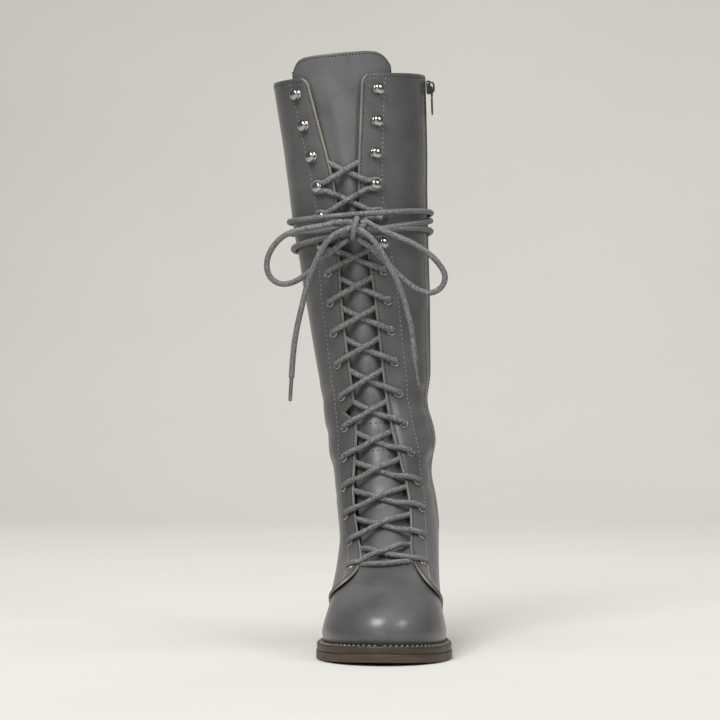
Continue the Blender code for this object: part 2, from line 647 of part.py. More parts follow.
def lace_zigzag(first_side, with_bar):
    """Centre line of one half of the lace, from the bottom eyelets up to its last crossing."""
    places = lace_places()
    over_facing = QUARTER_STEP + EYELET_HEIGHT + LACE_CLEARANCE + LACE_RADIUS
    over_tongue = -WALL + LACE_RADIUS + (2 * GAP if first_side > 0 else LACE_OVER_LACE)
    lifts = (over_facing, over_facing, over_tongue, over_facing)
    route = []
    side = first_side
    if with_bar:
        row, angle = places[0]
        route += [skin(-share * side * angle, row, over_facing) for share in BAR_SHARES]
    for (row, angle), (next_row, next_angle) in zip(places[:-1], places[1:]):
        over_vamp = row < THROAT_BASE + LACE_VAMP_REACH
        for share, lift in zip(CROSSING_SHARES, lifts):
            turn = side * ((1 - share) * angle - share * next_angle)
            lift = max(lift, over_facing - QUARTER_STEP) if over_vamp else lift
            route.append(skin(turn, (1 - share) * row + share * next_row, lift))
        side = -side
    last_row, last_angle = places[-1]
    end_row = hardware_places()[ROWS_OF_HARDWARE - LACED_ROWS - 1][0]
    end_angle = edge_angle(end_row, side > 0)
    for share, lift in zip(CROSSING_SHARES, lifts):
        turn = side * ((1 - share) * last_angle - share * end_angle)
        route.append(skin(turn, (1 - share) * last_row + share * end_row, lift))
    return route


def make_lace_crossings():
    lace = as_mesh(solid_tube("lace_crossings", lace_zigzag(1, True), LACE_RADIUS, "lace"))
    second = as_mesh(solid_tube("lace_second_half", lace_zigzag(-1, False), LACE_RADIUS, "lace"))
    join(lace, second)


def make_lace_wraps():
    """The lace wound round the shaft under the bow, as one rising coil that stands off the front."""
    turns = np.linspace(WRAP_TURNS[0], WRAP_TURNS[-1], WRAP_POINTS)
    angles = 2 * math.pi * turns
    from_front = (np.degrees(angles) + 180) % 360 - 180
    front = np.exp(-((from_front / WRAP_FRONT_ANGLE) ** 4))
    heights = spline_weights(WRAP_TURNS, turns) @ np.array(WRAP_HEIGHTS)
    rows = [row_at_height(height) for height in heights]
    lift = QUARTER_STEP + WRAP_CLEARANCE + LACE_RADIUS + WRAP_FRONT_LIFT * front
    solid_tube("lace_wraps", skin(angles, np.array(rows), lift), LACE_RADIUS, "lace")


def knot_exit(direction, side):
    """Points just outside the knot, and further out, where its surface faces a direction."""
    direction = np.array(direction) * (side, 1, 1) / np.linalg.norm(direction)
    size = np.array(KNOT_SIZE)
    touch = size**2 * direction / np.linalg.norm(size * direction)
    return [touch + direction * GAP, touch + direction * KNOT_STUB]


def make_bow():
    wraps = QUARTER_STEP + WRAP_CLEARANCE + 2 * LACE_RADIUS + WRAP_FRONT_LIFT
    lift = wraps + GAP + KNOT_SIZE[1] - KNOT_SINK
    middle = skin(math.radians(KNOT_ANGLE), row_at_height(KNOT_HEIGHT), lift)
    mesh = bpy.data.meshes.new("lace_knot")
    work = bmesh.new()
    size = Matrix.Diagonal((*(length * MM for length in KNOT_SIZE), 1))
    bmesh.ops.create_uvsphere(work, u_segments=KNOT_SEGMENTS, v_segments=KNOT_RINGS, radius=1, matrix=size)
    work.to_mesh(mesh)
    work.free()
    mesh.shade_smooth()
    new_object("lace_knot", mesh, "lace").location = Vector(middle * MM)
    for name, side, loop, end in (("left", -1, LOOP_LEFT, END_LEFT), ("right", 1, LOOP_RIGHT, END_RIGHT)):
        leaves, leaves_stub = knot_exit(LOOP_EXIT, side)
        returns, returns_stub = knot_exit(LOOP_RETURN, side)
        bend = smooth_route([leaves_stub, *loop, returns_stub], LOOP_POINTS)
        solid_tube(f"lace_loop_{name}", np.vstack([leaves, bend, returns]) + middle, LACE_RADIUS, "lace")
        hangs, hangs_stub = knot_exit(END_EXIT, side)
        line = np.vstack([hangs, smooth_route([hangs_stub, *end], END_POINTS)]) + middle
        solid_tube(f"lace_end_{name}", line, LACE_RADIUS, "lace")
        along = (line[-1] - line[-2]) / np.linalg.norm(line[-1] - line[-2])
        start = line[-1] + along * GAP
        solid_tube(f"aglet_{name}", [start, start + along * AGLET_LENGTH], AGLET_RADIUS, "nickel")


def make_zip():
    rows = [ZIP_FOOT] + [row for row in upper_rows() if ZIP_FOOT < row < ZIP_HEAD] + [ZIP_HEAD]
    middle = math.radians(ZIP_ANGLE)
    nudge = 1e-3
    angles = np.zeros((len(rows), 3))
    for k, row in enumerate(rows):
        pace = np.linalg.norm(base_skin(middle + nudge, row) - base_skin(middle - nudge, row)) / (2 * nudge)
        angles[k] = middle + np.array([-1, 0, 1]) * ZIP_HALF_WIDTH / pace
    row_grid = np.repeat(np.array(rows)[:, None], 3, axis=1)
    inside = QUARTER_STEP + 2 * GAP
    make_sheet("zip_tape", angles, row_grid, inside + ZIP_THICKNESS, inside, "tape")


def cube(name, size, material, bevel):
    """Box of a size in millimetres, rounded at its edges, with its middle at its origin."""
    mesh = bpy.data.meshes.new(name)
    work = bmesh.new()
    bmesh.ops.create_cube(work, size=1, matrix=Matrix.Diagonal((*(side * MM for side in size), 1)))
    work.to_mesh(mesh)
    work.free()
    obj = new_object(name, mesh, material)
    rounding = obj.modifiers.new("rounding", "BEVEL")
    rounding.width = bevel * MM
    rounding.segments = 1
    return obj


def make_slider():
    """Zip slider with its bail, and the pull tab that hangs from a bar under the bail."""
    angle = math.radians(ZIP_ANGLE)
    row = row_at_height(SLIDER_HEIGHT, angle)
    under = QUARTER_STEP + 3 * GAP + ZIP_THICKNESS
    thick = SLIDER_SIZE[2]
    body = cube("zip_slider", SLIDER_SIZE, "nickel", SLIDER_BEVEL)
    stand_on_skin(body, angle, row, under + thick / 2)
    axis_height = thick / 2 + BAIL_CLEAR
    bail_height = axis_height + BAIL_CLEAR + BAIL_RADIUS
    staple = [
        (0, -BAIL_HALF_SPAN, 0), (0, -BAIL_HALF_SPAN, bail_height),
        (0, BAIL_HALF_SPAN, bail_height), (0, BAIL_HALF_SPAN, 0),
    ]
    bail = solid_tube("zip_bail", staple, BAIL_RADIUS, "nickel")
    bail.matrix_world = body.matrix_world
    join(body, as_mesh(bail))
    data = bpy.data.curves.new("zip_pull_tab", "CURVE")
    data.dimensions = "2D"
    data.fill_mode = "BOTH"
    data.extrude = TAB_BAR / 2 * MM
    half, bar, low = TAB_WIDTH / 2, TAB_BAR / 2, -TAB_LENGTH
    inner, narrow, foot = half - TAB_RIM, half - TAB_NARROWING, half - TAB_CORNER
    right_edge = (
        (half, bar), (half, -TAB_SHOULDER), (narrow, -TAB_SHOULDER_END),
        (narrow, low + TAB_CORNER), (foot, low),
    )
    outline = right_edge + tuple((-across, up) for across, up in reversed(right_edge))
    window = ((-inner, -bar), (inner, -bar), (inner, -bar - TAB_WINDOW), (-inner, -bar - TAB_WINDOW))
    for corners in (outline, window):
        spline = data.splines.new("POLY")
        spline.points.add(len(corners) - 1)
        spline.use_cyclic_u = True
        for spot, (across, up) in zip(spline.points, corners):
            spot.co = (across * MM, up * MM, 0, 1)
    tab = new_object("zip_pull_tab", data, "nickel")
    stand_on_skin(tab, angle, row, under + thick / 2 + axis_height)


def make_materials():
    for name, (colour, roughness, metallic) in COLOURS.items():
        material = bpy.data.materials.new(name)
        material.use_nodes = True
        shader = material.node_tree.nodes["Principled BSDF"]
        shader.inputs["Base Color"].default_value = (*colour, 1)
        shader.inputs["Roughness"].default_value = roughness
        shader.inputs["Metallic"].default_value = metallic


def main():
    for obj in list(bpy.data.objects):
        bpy.data.objects.remove(obj)
    for name in ("tall_lace_up_boot", "cutters"):
        bpy.context.scene.collection.children.link(bpy.data.collections.new(name))
    make_materials()
    make_outsole()
    make_welt()
    make_heel()
    make_insole()
    make_upper()
    make_tongue()
    make_zip()
    make_slider()
    make_hardware()
    make_lace_crossings()
    make_lace_wraps()
    make_bow()


main()
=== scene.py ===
"""Looks of the tall lace-up boot: creased leather, seams, stitched welt, metal fittings, lace and zip."""

import math

import bmesh
import bpy
import numpy as np
from mathutils import Matrix, Vector


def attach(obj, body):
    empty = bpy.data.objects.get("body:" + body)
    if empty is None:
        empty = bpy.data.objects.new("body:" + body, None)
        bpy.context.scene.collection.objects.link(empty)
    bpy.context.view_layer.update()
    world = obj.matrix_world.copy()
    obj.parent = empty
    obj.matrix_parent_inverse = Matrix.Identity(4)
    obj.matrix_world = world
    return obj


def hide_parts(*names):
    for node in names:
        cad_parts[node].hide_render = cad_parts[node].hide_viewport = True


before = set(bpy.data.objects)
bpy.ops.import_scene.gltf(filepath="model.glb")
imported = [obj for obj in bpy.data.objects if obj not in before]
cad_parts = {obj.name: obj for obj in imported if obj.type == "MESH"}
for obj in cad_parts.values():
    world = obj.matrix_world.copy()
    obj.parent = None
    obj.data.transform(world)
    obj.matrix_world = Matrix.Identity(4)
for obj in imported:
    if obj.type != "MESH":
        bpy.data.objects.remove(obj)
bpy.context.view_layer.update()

MM = 0.001
GAP = 0.3
BODY = "boot"
PULL_BODY = "zip_pull"

# Camera of the photograph, measured from the boot's origin; the frame is 720 pixels wide
FRAME_PIXELS, FOCAL_PIXELS, SENSOR_WIDTH = 720, 3661.0, 36.0
CAMERA_AZIMUTH, CAMERA_DISTANCE, CAMERA_HEIGHT = 4.0, 2.76, 0.241
ORIGIN_COLUMN, HORIZON_ROW = 283.0, 319.0
BOOT_MIDDLE_COLUMN = 259.0

# Sole, in millimetres along the foot
TOE_TIP, FLAT_FRONT, FLAT_BACK, HEEL_BREAST = -224.0, -162.0, -122.0, -30.0
TOE_SPRING, HEEL_SEAT, HEEL_SLOPE = 2.5, 27.0, 0.09
OUTSOLE_THICKNESS, WELT_THICKNESS, TOP_PIECE_THICKNESS = 6.0, 5.2, 6.0
HEEL_TAPER, WELT_SETBACK, INSOLE_RISE = 2.0, 0.5, 3.0
OUTSOLE_BEVEL, WELT_BEVEL, TOP_PIECE_BEVEL = 0.6, 1.1, 0.7
WALL, QUARTER_STEP = 1.9, 0.9
TONGUE_THICKNESS, TONGUE_CLEARANCE = 2.0, 0.9
STATIONS = {"toe": 0.0, "ball": 0.30, "waist": 0.58, "heel": 0.85, "back": 1.0}
SOLE_MARGIN = {"toe": 6.5, "ball": 5.2, "waist": 3.0, "heel": 1.8, "back": 1.8}
FEATHER_FRONT, FEATHER_BACK = -217.0, 31.0


def sole_underside(y):
    """Height of the bottom of the outsole: toe spring, flat tread, arch and heel seat."""
    toe = np.clip((FLAT_FRONT - y) / (FLAT_FRONT - TOE_TIP), 0, None)
    span = HEEL_BREAST - FLAT_BACK
    arch = np.clip((y - FLAT_BACK) / span, 0, 1)
    rise = HEEL_SEAT * (3 * arch**2 - 2 * arch**3) + HEEL_SLOPE * span * (arch**3 - arch**2)
    return TOE_SPRING * toe**2 + rise + HEEL_SLOPE * np.clip(y - HEEL_BREAST, 0, None)


def welt_underside(y):
    return sole_underside(y) + OUTSOLE_THICKNESS + GAP


def feather_height(y):
    """Height of the line where the upper stands on the welt."""
    return welt_underside(y) + WELT_THICKNESS + GAP


# Rings of the upper from the feather line up to the collar, as in the solid model
RING_COLUMNS = (
    "front_y", "front_z", "back_y", "back_z", "sag",
    "toe", "ball", "waist", "heel", "back",
    "front_x", "mid_x", "back_x", "lean",
)
RINGS = {
    "feather": (
        FEATHER_FRONT, feather_height(FEATHER_FRONT), FEATHER_BACK, feather_height(FEATHER_BACK), 1.0,
        62.0, 46.8, 32.5, 40.0, 54.0, 17.2, 10.4, 0.0, 0.0,
    ),
    "toe wall": (-219.0, 21.5, 34.6, 50.0, 0.88, 65.0, 48.0, 34.0, 42.5, 57.0, 17.2, 10.4, 0.0, 0.0),
    "toe crown": (-212.5, 36.0, 36.4, 64.0, 0.66, 63.0, 43.6, 34.0, 43.0, 56.0, 17.6, 10.6, 0.0, 0.0),
    "toe top": (-193.0, 48.5, 35.4, 78.0, 0.42, 57.0, 40.8, 34.6, 42.0, 53.0, 17.2, 10.2, 0.0, 0.0),
    "vamp": (-161.0, 60.5, 32.8, 92.0, 0.22, 49.0, 38.9, 35.2, 40.5, 49.0, 16.0, 9.6, 0.0, 0.05),
    "throat base": (-130.0, 73.0, 30.2, 105.0, 0.08, 43.4, 37.3, 35.6, 39.0, 45.0, 12.8, 8.4, 0.0, 0.09),
    "instep": (-101.0, 97.5, 27.4, 123.0, 0.0, 40.0, 36.8, 35.6, 37.3, 41.5, 7.8, 4.8, 0.0, 0.1),
    "instep top": (-82.0, 126.5, 26.0, 142.0, 0.0, 39.0, 37.0, 36.2, 36.8, 39.5, 3.0, 1.6, 0.2, 0.09),
    "ankle": (-67.0, 161.0, 27.0, 165.0, 0.0, 40.0, 38.8, 38.2, 38.4, 39.5, -1.8, -1.2, -1.8, 0.07),
    "above ankle": (-60.5, 199.0, 31.0, 199.0, 0.0, 41.5, 40.8, 40.5, 40.6, 41.0, -7.4, -5.5, -5.4, 0.045),
    "lower shaft": (-57.5, 249.0, 39.0, 249.0, 0.0, 45.6, 45.0, 44.7, 45.0, 45.4, -13.6, -10.7, -9.8, 0.03),
    "calf": (-57.5, 313.0, 50.0, 313.0, 0.0, 50.0, 49.4, 49.1, 49.3, 49.8, -20.0, -17.2, -16.0, 0.04),
    "upper calf": (-59.0, 371.0, 56.0, 371.0, 0.0, 53.2, 52.7, 52.6, 52.7, 53.0, -26.4, -21.6, -20.2, 0.052),
    "collar": (-61.0, 421.0, 58.0, 421.0, 0.0, 56.2, 55.8, 55.7, 55.8, 56.0, -32.4, -26.0, -24.2, 0.062),
}
RING_TABLE = np.array(list(RINGS.values()), float)
RING_NAMES = list(RINGS)
THROAT_BASE = RING_NAMES.index("throat base")
COLLAR = RING_NAMES.index("collar")
FOLDS = (
    (180.0, 95.0, 13.0, 42.0, -3.4), (151.0, 92.0, 12.0, 48.0, 2.0), (126.0, 95.0, 12.0, 45.0, -1.6),
    (167.0, 265.0, 12.0, 40.0, 1.0), (143.0, 268.0, 11.0, 40.0, 1.1), (123.0, 265.0, 10.0, 40.0, -1.0),
)

# Throat, quarters and tongue
THROAT_HEIGHTS = (72.0, 85.0, 112.0, 126.0, 154.0, 193.0, 212.0, 257.0, 281.0, 333.0, 361.0, 382.0, 422.0)
THROAT_HALF_GAPS = (19.6, 21.6, 21.8, 19.4, 13.8, 12.0, 12.2, 12.2, 11.0, 8.4, 11.6, 15.1, 21.6)
QUARTER_EDGE = {"feather": 88.0, "toe wall": 82.0, "toe crown": 68.0, "toe top": 42.0, "vamp": 28.0}
NOTCH_HEIGHT, NOTCH_HALF_HEIGHT, NOTCH_DEPTH = 173.0, 7.0, 10.0
CORNER_RADIUS = 7.0
TONGUE_HALF_WIDTHS = {
    "vamp": 20.0, "throat base": 26.0, "instep top": 28.0, "lower shaft": 26.0, "collar": 46.0,
}
TONGUE_FOOT, TONGUE_RISE = THROAT_BASE - 0.6, 0.33
TONGUE_CORNER, TONGUE_SQUARENESS, TONGUE_TILT, TONGUE_TURN = 0.26, 7, 0.03, 4.0

# Hardware
ROWS_OF_HARDWARE, ROWS_OF_HOOKS = 17, 6
HARDWARE_HEIGHTS = (
    409.5, 386.0, 362.5, 339.5, 317.5, 296.5,
    276.0, 254.0, 231.5, 208.5, 185.0, 162.0, 139.5, 117.0, 96.0, 77.5, 61.5,
)
HOOK_SETBACK, EYELET_SETBACK = 12.0, 10.0
EYELET_HOLE = 2.3
ZIP_ANGLE, ZIP_FOOT, ZIP_HEAD = 90.0, 4.6, COLLAR - 0.06
ZIP_THICKNESS = 0.7

# Lace
LACE_RADIUS = 2.15
LACED_ROWS = 14
WRAP_TURNS = (0.0, 0.25, 0.75, 1.0, 1.25, 1.75, 2.0, 2.25, 2.75, 3.0)
WRAP_HEIGHTS = (306.0, 305.5, 294.5, 304.0, 312.5, 316.0, 317.6, 319.0, 307.5, 308.0)
WRAP_CLEARANCE, WRAP_FRONT_LIFT, WRAP_FRONT_ANGLE = 2.6, 5.8, 58.0
KNOT_HEIGHT, KNOT_ANGLE = 308.0, 3.0
KNOT_SIZE, KNOT_SINK, KNOT_STUB = (6.2, 4.6, 9.0), 1.0, 4.0
AGLET_LENGTH = 18.0
LOOP_EXIT, LOOP_RETURN, END_EXIT = (0.96, 0.1, 0.27), (0.7, 0.1, -0.7), (0.6, -0.78, -0.1)
LOOP_LEFT = (
    (-20.0, -2.0, 2.0), (-35.6, -2.5, -0.7), (-51.0, -1.0, -5.9), (-61.2, 1.0, -16.9),
    (-64.2, 2.5, -27.1), (-61.2, 3.5, -36.7), (-53.2, 4.0, -41.1), (-44.0, 4.0, -39.5), (-35.6, 3.5, -34.5),
    (-23.8, 2.6, -24.2), (-13.6, 1.4, -15.4),
)
LOOP_RIGHT = (
    (20.9, -2.0, -1.5), (36.3, -2.5, -8.0), (51.7, -1.0, -16.1), (63.4, 1.0, -27.1),
    (67.4, 2.5, -35.9), (64.2, 3.5, -44.0), (56.1, 4.0, -47.7), (46.6, 4.0, -45.0), (34.5, 3.5, -35.9),
    (20.9, 2.6, -22.5), (12.5, 1.4, -14.6),
)
END_LEFT = (
    (-15.0, -6.6, -6.6), (-22.4, -5.6, -16.0), (-28.0, -4.6, -27.1), (-33.0, -3.4, -39.6),
    (-36.8, -2.4, -54.3), (-40.7, -1.6, -70.4), (-43.6, -1.0, -87.3), (-45.5, -0.6, -110.0),
)
END_RIGHT = (
    (15.8, -6.6, -10.0), (23.4, -5.6, -21.3), (30.0, -4.6, -33.7), (35.0, -3.4, -44.7),
    (39.6, -2.4, -60.1), (43.3, -1.6, -75.5), (44.8, -1.0, -90.9), (45.8, -0.6, -98.3),
)


def spline_weights(knots, points):
    """Weights that carry values at the knots to the points along a natural cubic spline."""
    knots = np.asarray(knots, float)
    points = np.ravel(np.asarray(points, float))
    count = len(knots)
    step = np.diff(knots)
    system = np.eye(count)
    pull = np.zeros((count, count))
    for k in range(1, count - 1):
        system[k, k - 1 : k + 2] = step[k - 1], 2 * (step[k - 1] + step[k]), step[k]
        pull[k, k - 1 : k + 2] = 6 / step[k - 1], -6 / step[k - 1] - 6 / step[k], 6 / step[k]
    bend = np.linalg.solve(system, pull)
    left = np.clip(np.searchsorted(knots, points, side="right") - 1, 0, count - 2)
    width = step[left]
    after = (points - knots[left]) / width
    before = 1 - after
    unit = np.eye(count)
    straight = before[:, None] * unit[left] + after[:, None] * unit[left + 1]
    bent_left = ((before**3 - before) * width**2 / 6)[:, None] * bend[left]
    bent_right = ((after**3 - after) * width**2 / 6)[:, None] * bend[left + 1]
    return straight + bent_left + bent_right


def base_skin(angle, row):
    """Points of the last's surface in millimetres; angle runs round a ring from its front, +X first."""
    angle, row = np.broadcast_arrays(np.asarray(angle, float), np.asarray(row, float))
    shape = angle.shape
    angle, row = angle.ravel(), row.ravel()
    ring = dict(zip(RING_COLUMNS, (spline_weights(range(len(RINGS)), row) @ RING_TABLE).T))
    along = (1 - np.cos(angle)) / 2
    by_station = spline_weights(list(STATIONS.values()), along)
    half_width = sum(by_station[:, k] * ring[name] for k, name in enumerate(STATIONS))
    to_side = half_width * np.sin(angle)
    centre = (
        ring["front_x"] * (1 - along) * (1 - 2 * along)
        + ring["mid_x"] * 4 * along * (1 - along)
        + ring["back_x"] * along * (2 * along - 1)
    )
    y = ring["front_y"] + along * (ring["back_y"] - ring["front_y"])
    chord = ring["front_z"] + along * (ring["back_z"] - ring["front_z"])
    ends = feather_height(FEATHER_FRONT), feather_height(FEATHER_BACK)
    level = ends[0] + (y - FEATHER_FRONT) / (FEATHER_BACK - FEATHER_FRONT) * (ends[1] - ends[0])
    z = chord + ring["sag"] * (feather_height(y) - level) + ring["lean"] * to_side
    return np.stack([centre + to_side, y, z], axis=-1).reshape(shape + (3,))


def normals(angle, row):
    """Outward normals of the surface, kept level at the feather line so that the edge stands on the welt."""
    angle, row = np.broadcast_arrays(np.asarray(angle, float), np.asarray(row, float))
    nudge = 1e-3
    across = base_skin(angle + nudge, row) - base_skin(angle - nudge, row)
    upward = base_skin(angle, row + nudge) - base_skin(angle, row - nudge)
    outward = np.cross(across, upward)
    outward[..., 2] *= np.clip(row, 0, 1)
    return outward / np.linalg.norm(outward, axis=-1, keepdims=True)


def fold_swell(points, angle):
    swell = np.zeros(points.shape[:-1])
    degrees = np.degrees(angle) % 360
    for height, middle, half_height, half_angle, size in FOLDS:
        near = ((points[..., 2] - height) / half_height) ** 2 + ((degrees - middle) / half_angle) ** 2
        swell += size * np.exp(-near)
    return swell


def skin(angle, row, out=0.0):
    """Points in millimetres at a distance outside the last's surface, with the folds of the ankle."""
    angle, row = np.broadcast_arrays(np.asarray(angle, float), np.asarray(row, float))
    points = base_skin(angle, row)
    distance = np.asarray(out) + fold_swell(points, angle)
    return points + normals(angle, row) * distance[..., None]


def run_length(points):
    """Distance along a line of points at each of them."""
    return np.concatenate([[0], np.cumsum(np.linalg.norm(np.diff(points, axis=0), axis=1))])


def ring_run(row, last, count):
    """Angles from the front of a ring to the last one, and the distance round the ring at each."""
    steps = np.linspace(0, last, count)
    return steps, run_length(base_skin(steps, np.full(count, float(row))))


def row_at_height(height, angle=0.0):
    """Ring position at which the surface has this height at this angle, above the toe."""
    rows = np.linspace(1.5, COLLAR + 0.5, 600)
    return np.interp(height, base_skin(np.full(rows.shape, angle), rows)[:, 2], rows)


def angle_of_arc(distance, row):
    """Angle from the front ridge that lies this far round the ring."""
    steps, run = ring_run(row, math.pi / 2, 60)
    return float(np.interp(distance, run, steps))


def edge_angle(row, lateral):
    """Angle of the quarters' front edge: the throat above its base, the derby seam below it."""
    if row < THROAT_BASE:
        rows = [RING_NAMES.index(name) for name in QUARTER_EDGE] + [THROAT_BASE]
        angles = list(QUARTER_EDGE.values()) + [math.degrees(edge_angle(THROAT_BASE, False))]
        return math.radians((spline_weights(rows, [row]) @ np.array(angles))[0])
    height = base_skin(0.0, row)[2]
    gap = (spline_weights(THROAT_HEIGHTS, [height]) @ np.array(THROAT_HALF_GAPS))[0]
    if lateral:
        gap += NOTCH_DEPTH * max(0.0, 1 - abs(height - NOTCH_HEIGHT) / NOTCH_HALF_HEIGHT)
    below_collar = base_skin(0.0, COLLAR)[2] - height
    if below_collar < CORNER_RADIUS:
        inset = CORNER_RADIUS - below_collar
        gap += CORNER_RADIUS - math.sqrt(max(CORNER_RADIUS**2 - inset**2, 0.0))
    return angle_of_arc(gap, row)


def hardware_places():
    """(row, angle) of each fastening down one side, top first, by the height of the front ridge."""
    places = []
    for number, height in enumerate(HARDWARE_HEIGHTS):
        row = row_at_height(height)
        edge = edge_angle(max(row, THROAT_BASE), False)
        setback = HOOK_SETBACK if number < ROWS_OF_HOOKS else EYELET_SETBACK
        places.append((row, edge + angle_of_arc(setback, row)))
    return places


def smooth_route(points, count):
    """Points evenly along a smooth curve through the given ones."""
    points = np.asarray(points, float)
    run = run_length(points)
    return spline_weights(run, np.linspace(0, run[-1], count)) @ points


# Leather surface: grooves under stitches, worn creases, the thin facings and the zip's recess, in millimetres
EDGE_ROUND, EDGE_ROUND_WIDTH, RAW_COLUMNS = 1.3, 1.4, 4
TIP_LIFT, TIP_ROW, TIP_ROWS, TIP_WIDTH = 2.4, 3.4, 1.1, 13.0
COLLAR_ROUND = 0.5
SEAM_INSET, FACING_SEAM_INSET, ZIP_SEAM_INSET = 2.3, 18.4, 12.0
BACK_SEAM_INSET, TONGUE_SEAM_INSET = 1.9, 1.8
GROOVE_DEPTH, GROOVE_HALF_WIDTH = 0.28, 0.55
FACING_INSIDE, FACING_WIDTH, FACING_BLEND = -0.6, 15.0, 12.0
ZIP_RECESS, ZIP_RECESS_EDGE, ZIP_RECESS_BLEND, ZIP_FOOT_BLEND = 1.5, 3.3, 0.6, 0.25
ZIP_LIP, ZIP_LIP_PLACE, ZIP_LIP_WIDTH = 0.35, 0.9, 0.8
BACK_GROOVE, BACK_GROOVE_HALF_WIDTH = 0.5, 0.6
ZIP_CALM_START, ZIP_CALM = 2.0, 8.0
THINNEST_LEATHER = 0.3
EDGE_CALM, COLLAR_CALM = 14.0, 20.0
DIMPLE_DEPTH, DIMPLE_RADIUS = 0.35, 4.4
PUNCH_LENGTH, PUNCH_SIDES = 12.0, 24
VAMP_TUCK, VAMP_TUCK_DEPTH, VAMP_TUCK_START, VAMP_TUCK_BLEND = 6.0, 1.2, 0.4, 2.4
VAMP_TOP, VAMP_SINK, VAMP_SINK_START, VAMP_SINK_BLEND, VAMP_THINNEST = 0.12, 0.9, 0.25, 0.37, 0.8
# Worn leather: depth of its waves, millimetres round the shaft a radian, and the ridge beside a crease
SLOW_WAVE, QUICK_WAVE = 0.22, 0.09
CREASE_TURN, RIDGE_SIZE, RIDGE_PLACE, RIDGE_WIDTH = 42.0, 0.45, 2.1, 1.5
# Creases: height, angle from the front in degrees, rise, half length, half width and depth
CREASES = (
    (187.0, 62.0, 0.10, 26.0, 4.0, 0.9), (175.0, 80.0, -0.16, 34.0, 5.0, 1.1),
    (162.0, 70.0, 0.12, 24.0, 3.6, 0.7), (138.0, 84.0, 0.18, 30.0, 4.4, 1.0),
    (119.0, 66.0, -0.10, 24.0, 4.0, 0.7), (103.0, 80.0, 0.08, 26.0, 4.0, 0.6),
    (181.0, 285.0, 0.14, 28.0, 4.6, 0.5), (156.0, 272.0, -0.12, 32.0, 4.4, 0.5),
    (132.0, 284.0, 0.10, 28.0, 4.0, 0.5), (111.0, 276.0, -0.14, 26.0, 4.2, 0.4),
    (194.0, 250.0, 0.10, 24.0, 4.0, 0.4), (169.0, 165.0, 0.06, 34.0, 5.0, 0.9),
    (149.0, 195.0, -0.06, 36.0, 5.0, 1.0), (131.0, 172.0, 0.04, 30.0, 4.6, 0.8),
    (246.0, 118.0, 0.20, 30.0, 9.0, 0.8), (291.0, 240.0, -0.18, 36.0, 11.0, 0.9),
    (343.0, 130.0, 0.16, 40.0, 12.0, 0.8),
)
# Flex lines over the vamp: how they bow across the foot and fade at the sides and below a height; then the
# place along the foot, half width and depth of each
FLEX_MIDDLE, FLEX_SPAN, FLEX_BOW = 10.0, 26.0, 6.0
FLEX_FADE_MIDDLE, FLEX_FADE, FLEX_FLOOR = 12.0, 30.0, 40.0
FLEX_LINES = ((-168.0, 3.0, 0.28), (-158.0, 2.6, 0.24), (-148.0, 3.0, 0.2))
# Tongue: how far it swells between the facings and is sunk beside them, the rows over which that changes,
# the sewn band across it, its rolled edge, and the waves of tongue and vamp
LEAST_HALF_GAP, TOP_LACED, LACED_BLEND, FOOT_BULGE_ROWS = 6.0, 2, 0.5, 1.3
SUNK_START, SUNK_BLEND, SUNK_TOP, SUNK_TOP_BLEND = 0.3, 0.7, 0.05, 0.5
TONGUE_BULGE, TONGUE_FOOT_BULGE, TONGUE_PUFF, TONGUE_RECESS = 1.2, 2.6, 0.7, 2.4
TONGUE_BAND_LOW, TONGUE_BAND_HIGH, TONGUE_BAND_RISE, BAND_RAMP = 144.0, 165.5, 0.4, 0.8
TONGUE_ROUND, TONGUE_ROUND_WIDTH, TONGUE_WAVES, VAMP_WAVES = 0.8, 1.2, 0.5, 0.6

# Stitches: length, gap and thickness; places along one and its thickness there; how far its ends dip
STITCH_LENGTH, STITCH_GAP, STITCH_RADIUS = 1.75, 0.85, 0.34
FACING_THREAD = {"length": 2.0, "gap": 1.4, "radius": 0.32}
BAND_THREAD = {"length": 2.3, "gap": 1.3, "radius": 0.42}
WELT_THREAD = {"length": 2.6, "gap": 1.5, "radius": 0.75}
STITCH_PROFILE = ((-0.5, 0.35), (-0.36, 0.9), (0.0, 1.05), (0.36, 0.9), (0.5, 0.35))
STITCH_SIDES, STITCH_DIP, STITCH_NUDGE = 6, 1.2, 0.2
# Seams: how deep stitches lie and how they slant, the rows where seams start and end, distances from edges
WELT_STITCH_INSET, WELT_STITCH_LIFT = 2.4, 0.3
STITCH_SINK, BACK_STITCH_SINK, STITCH_SLANT = 0.05, 0.15, 0.12
SEAM_FOOT, SECOND_SEAM_HEAD, FACING_SEAM_FOOT, BELOW_COLLAR = 0.3, 4.2, 3.4, 0.06
BAND_SEAM_INSET, HEAD_SEAM_DROP = 1.6, 0.4
ON_QUARTER, COLLAR_SEAM = QUARTER_STEP - STITCH_SINK, COLLAR - BELOW_COLLAR


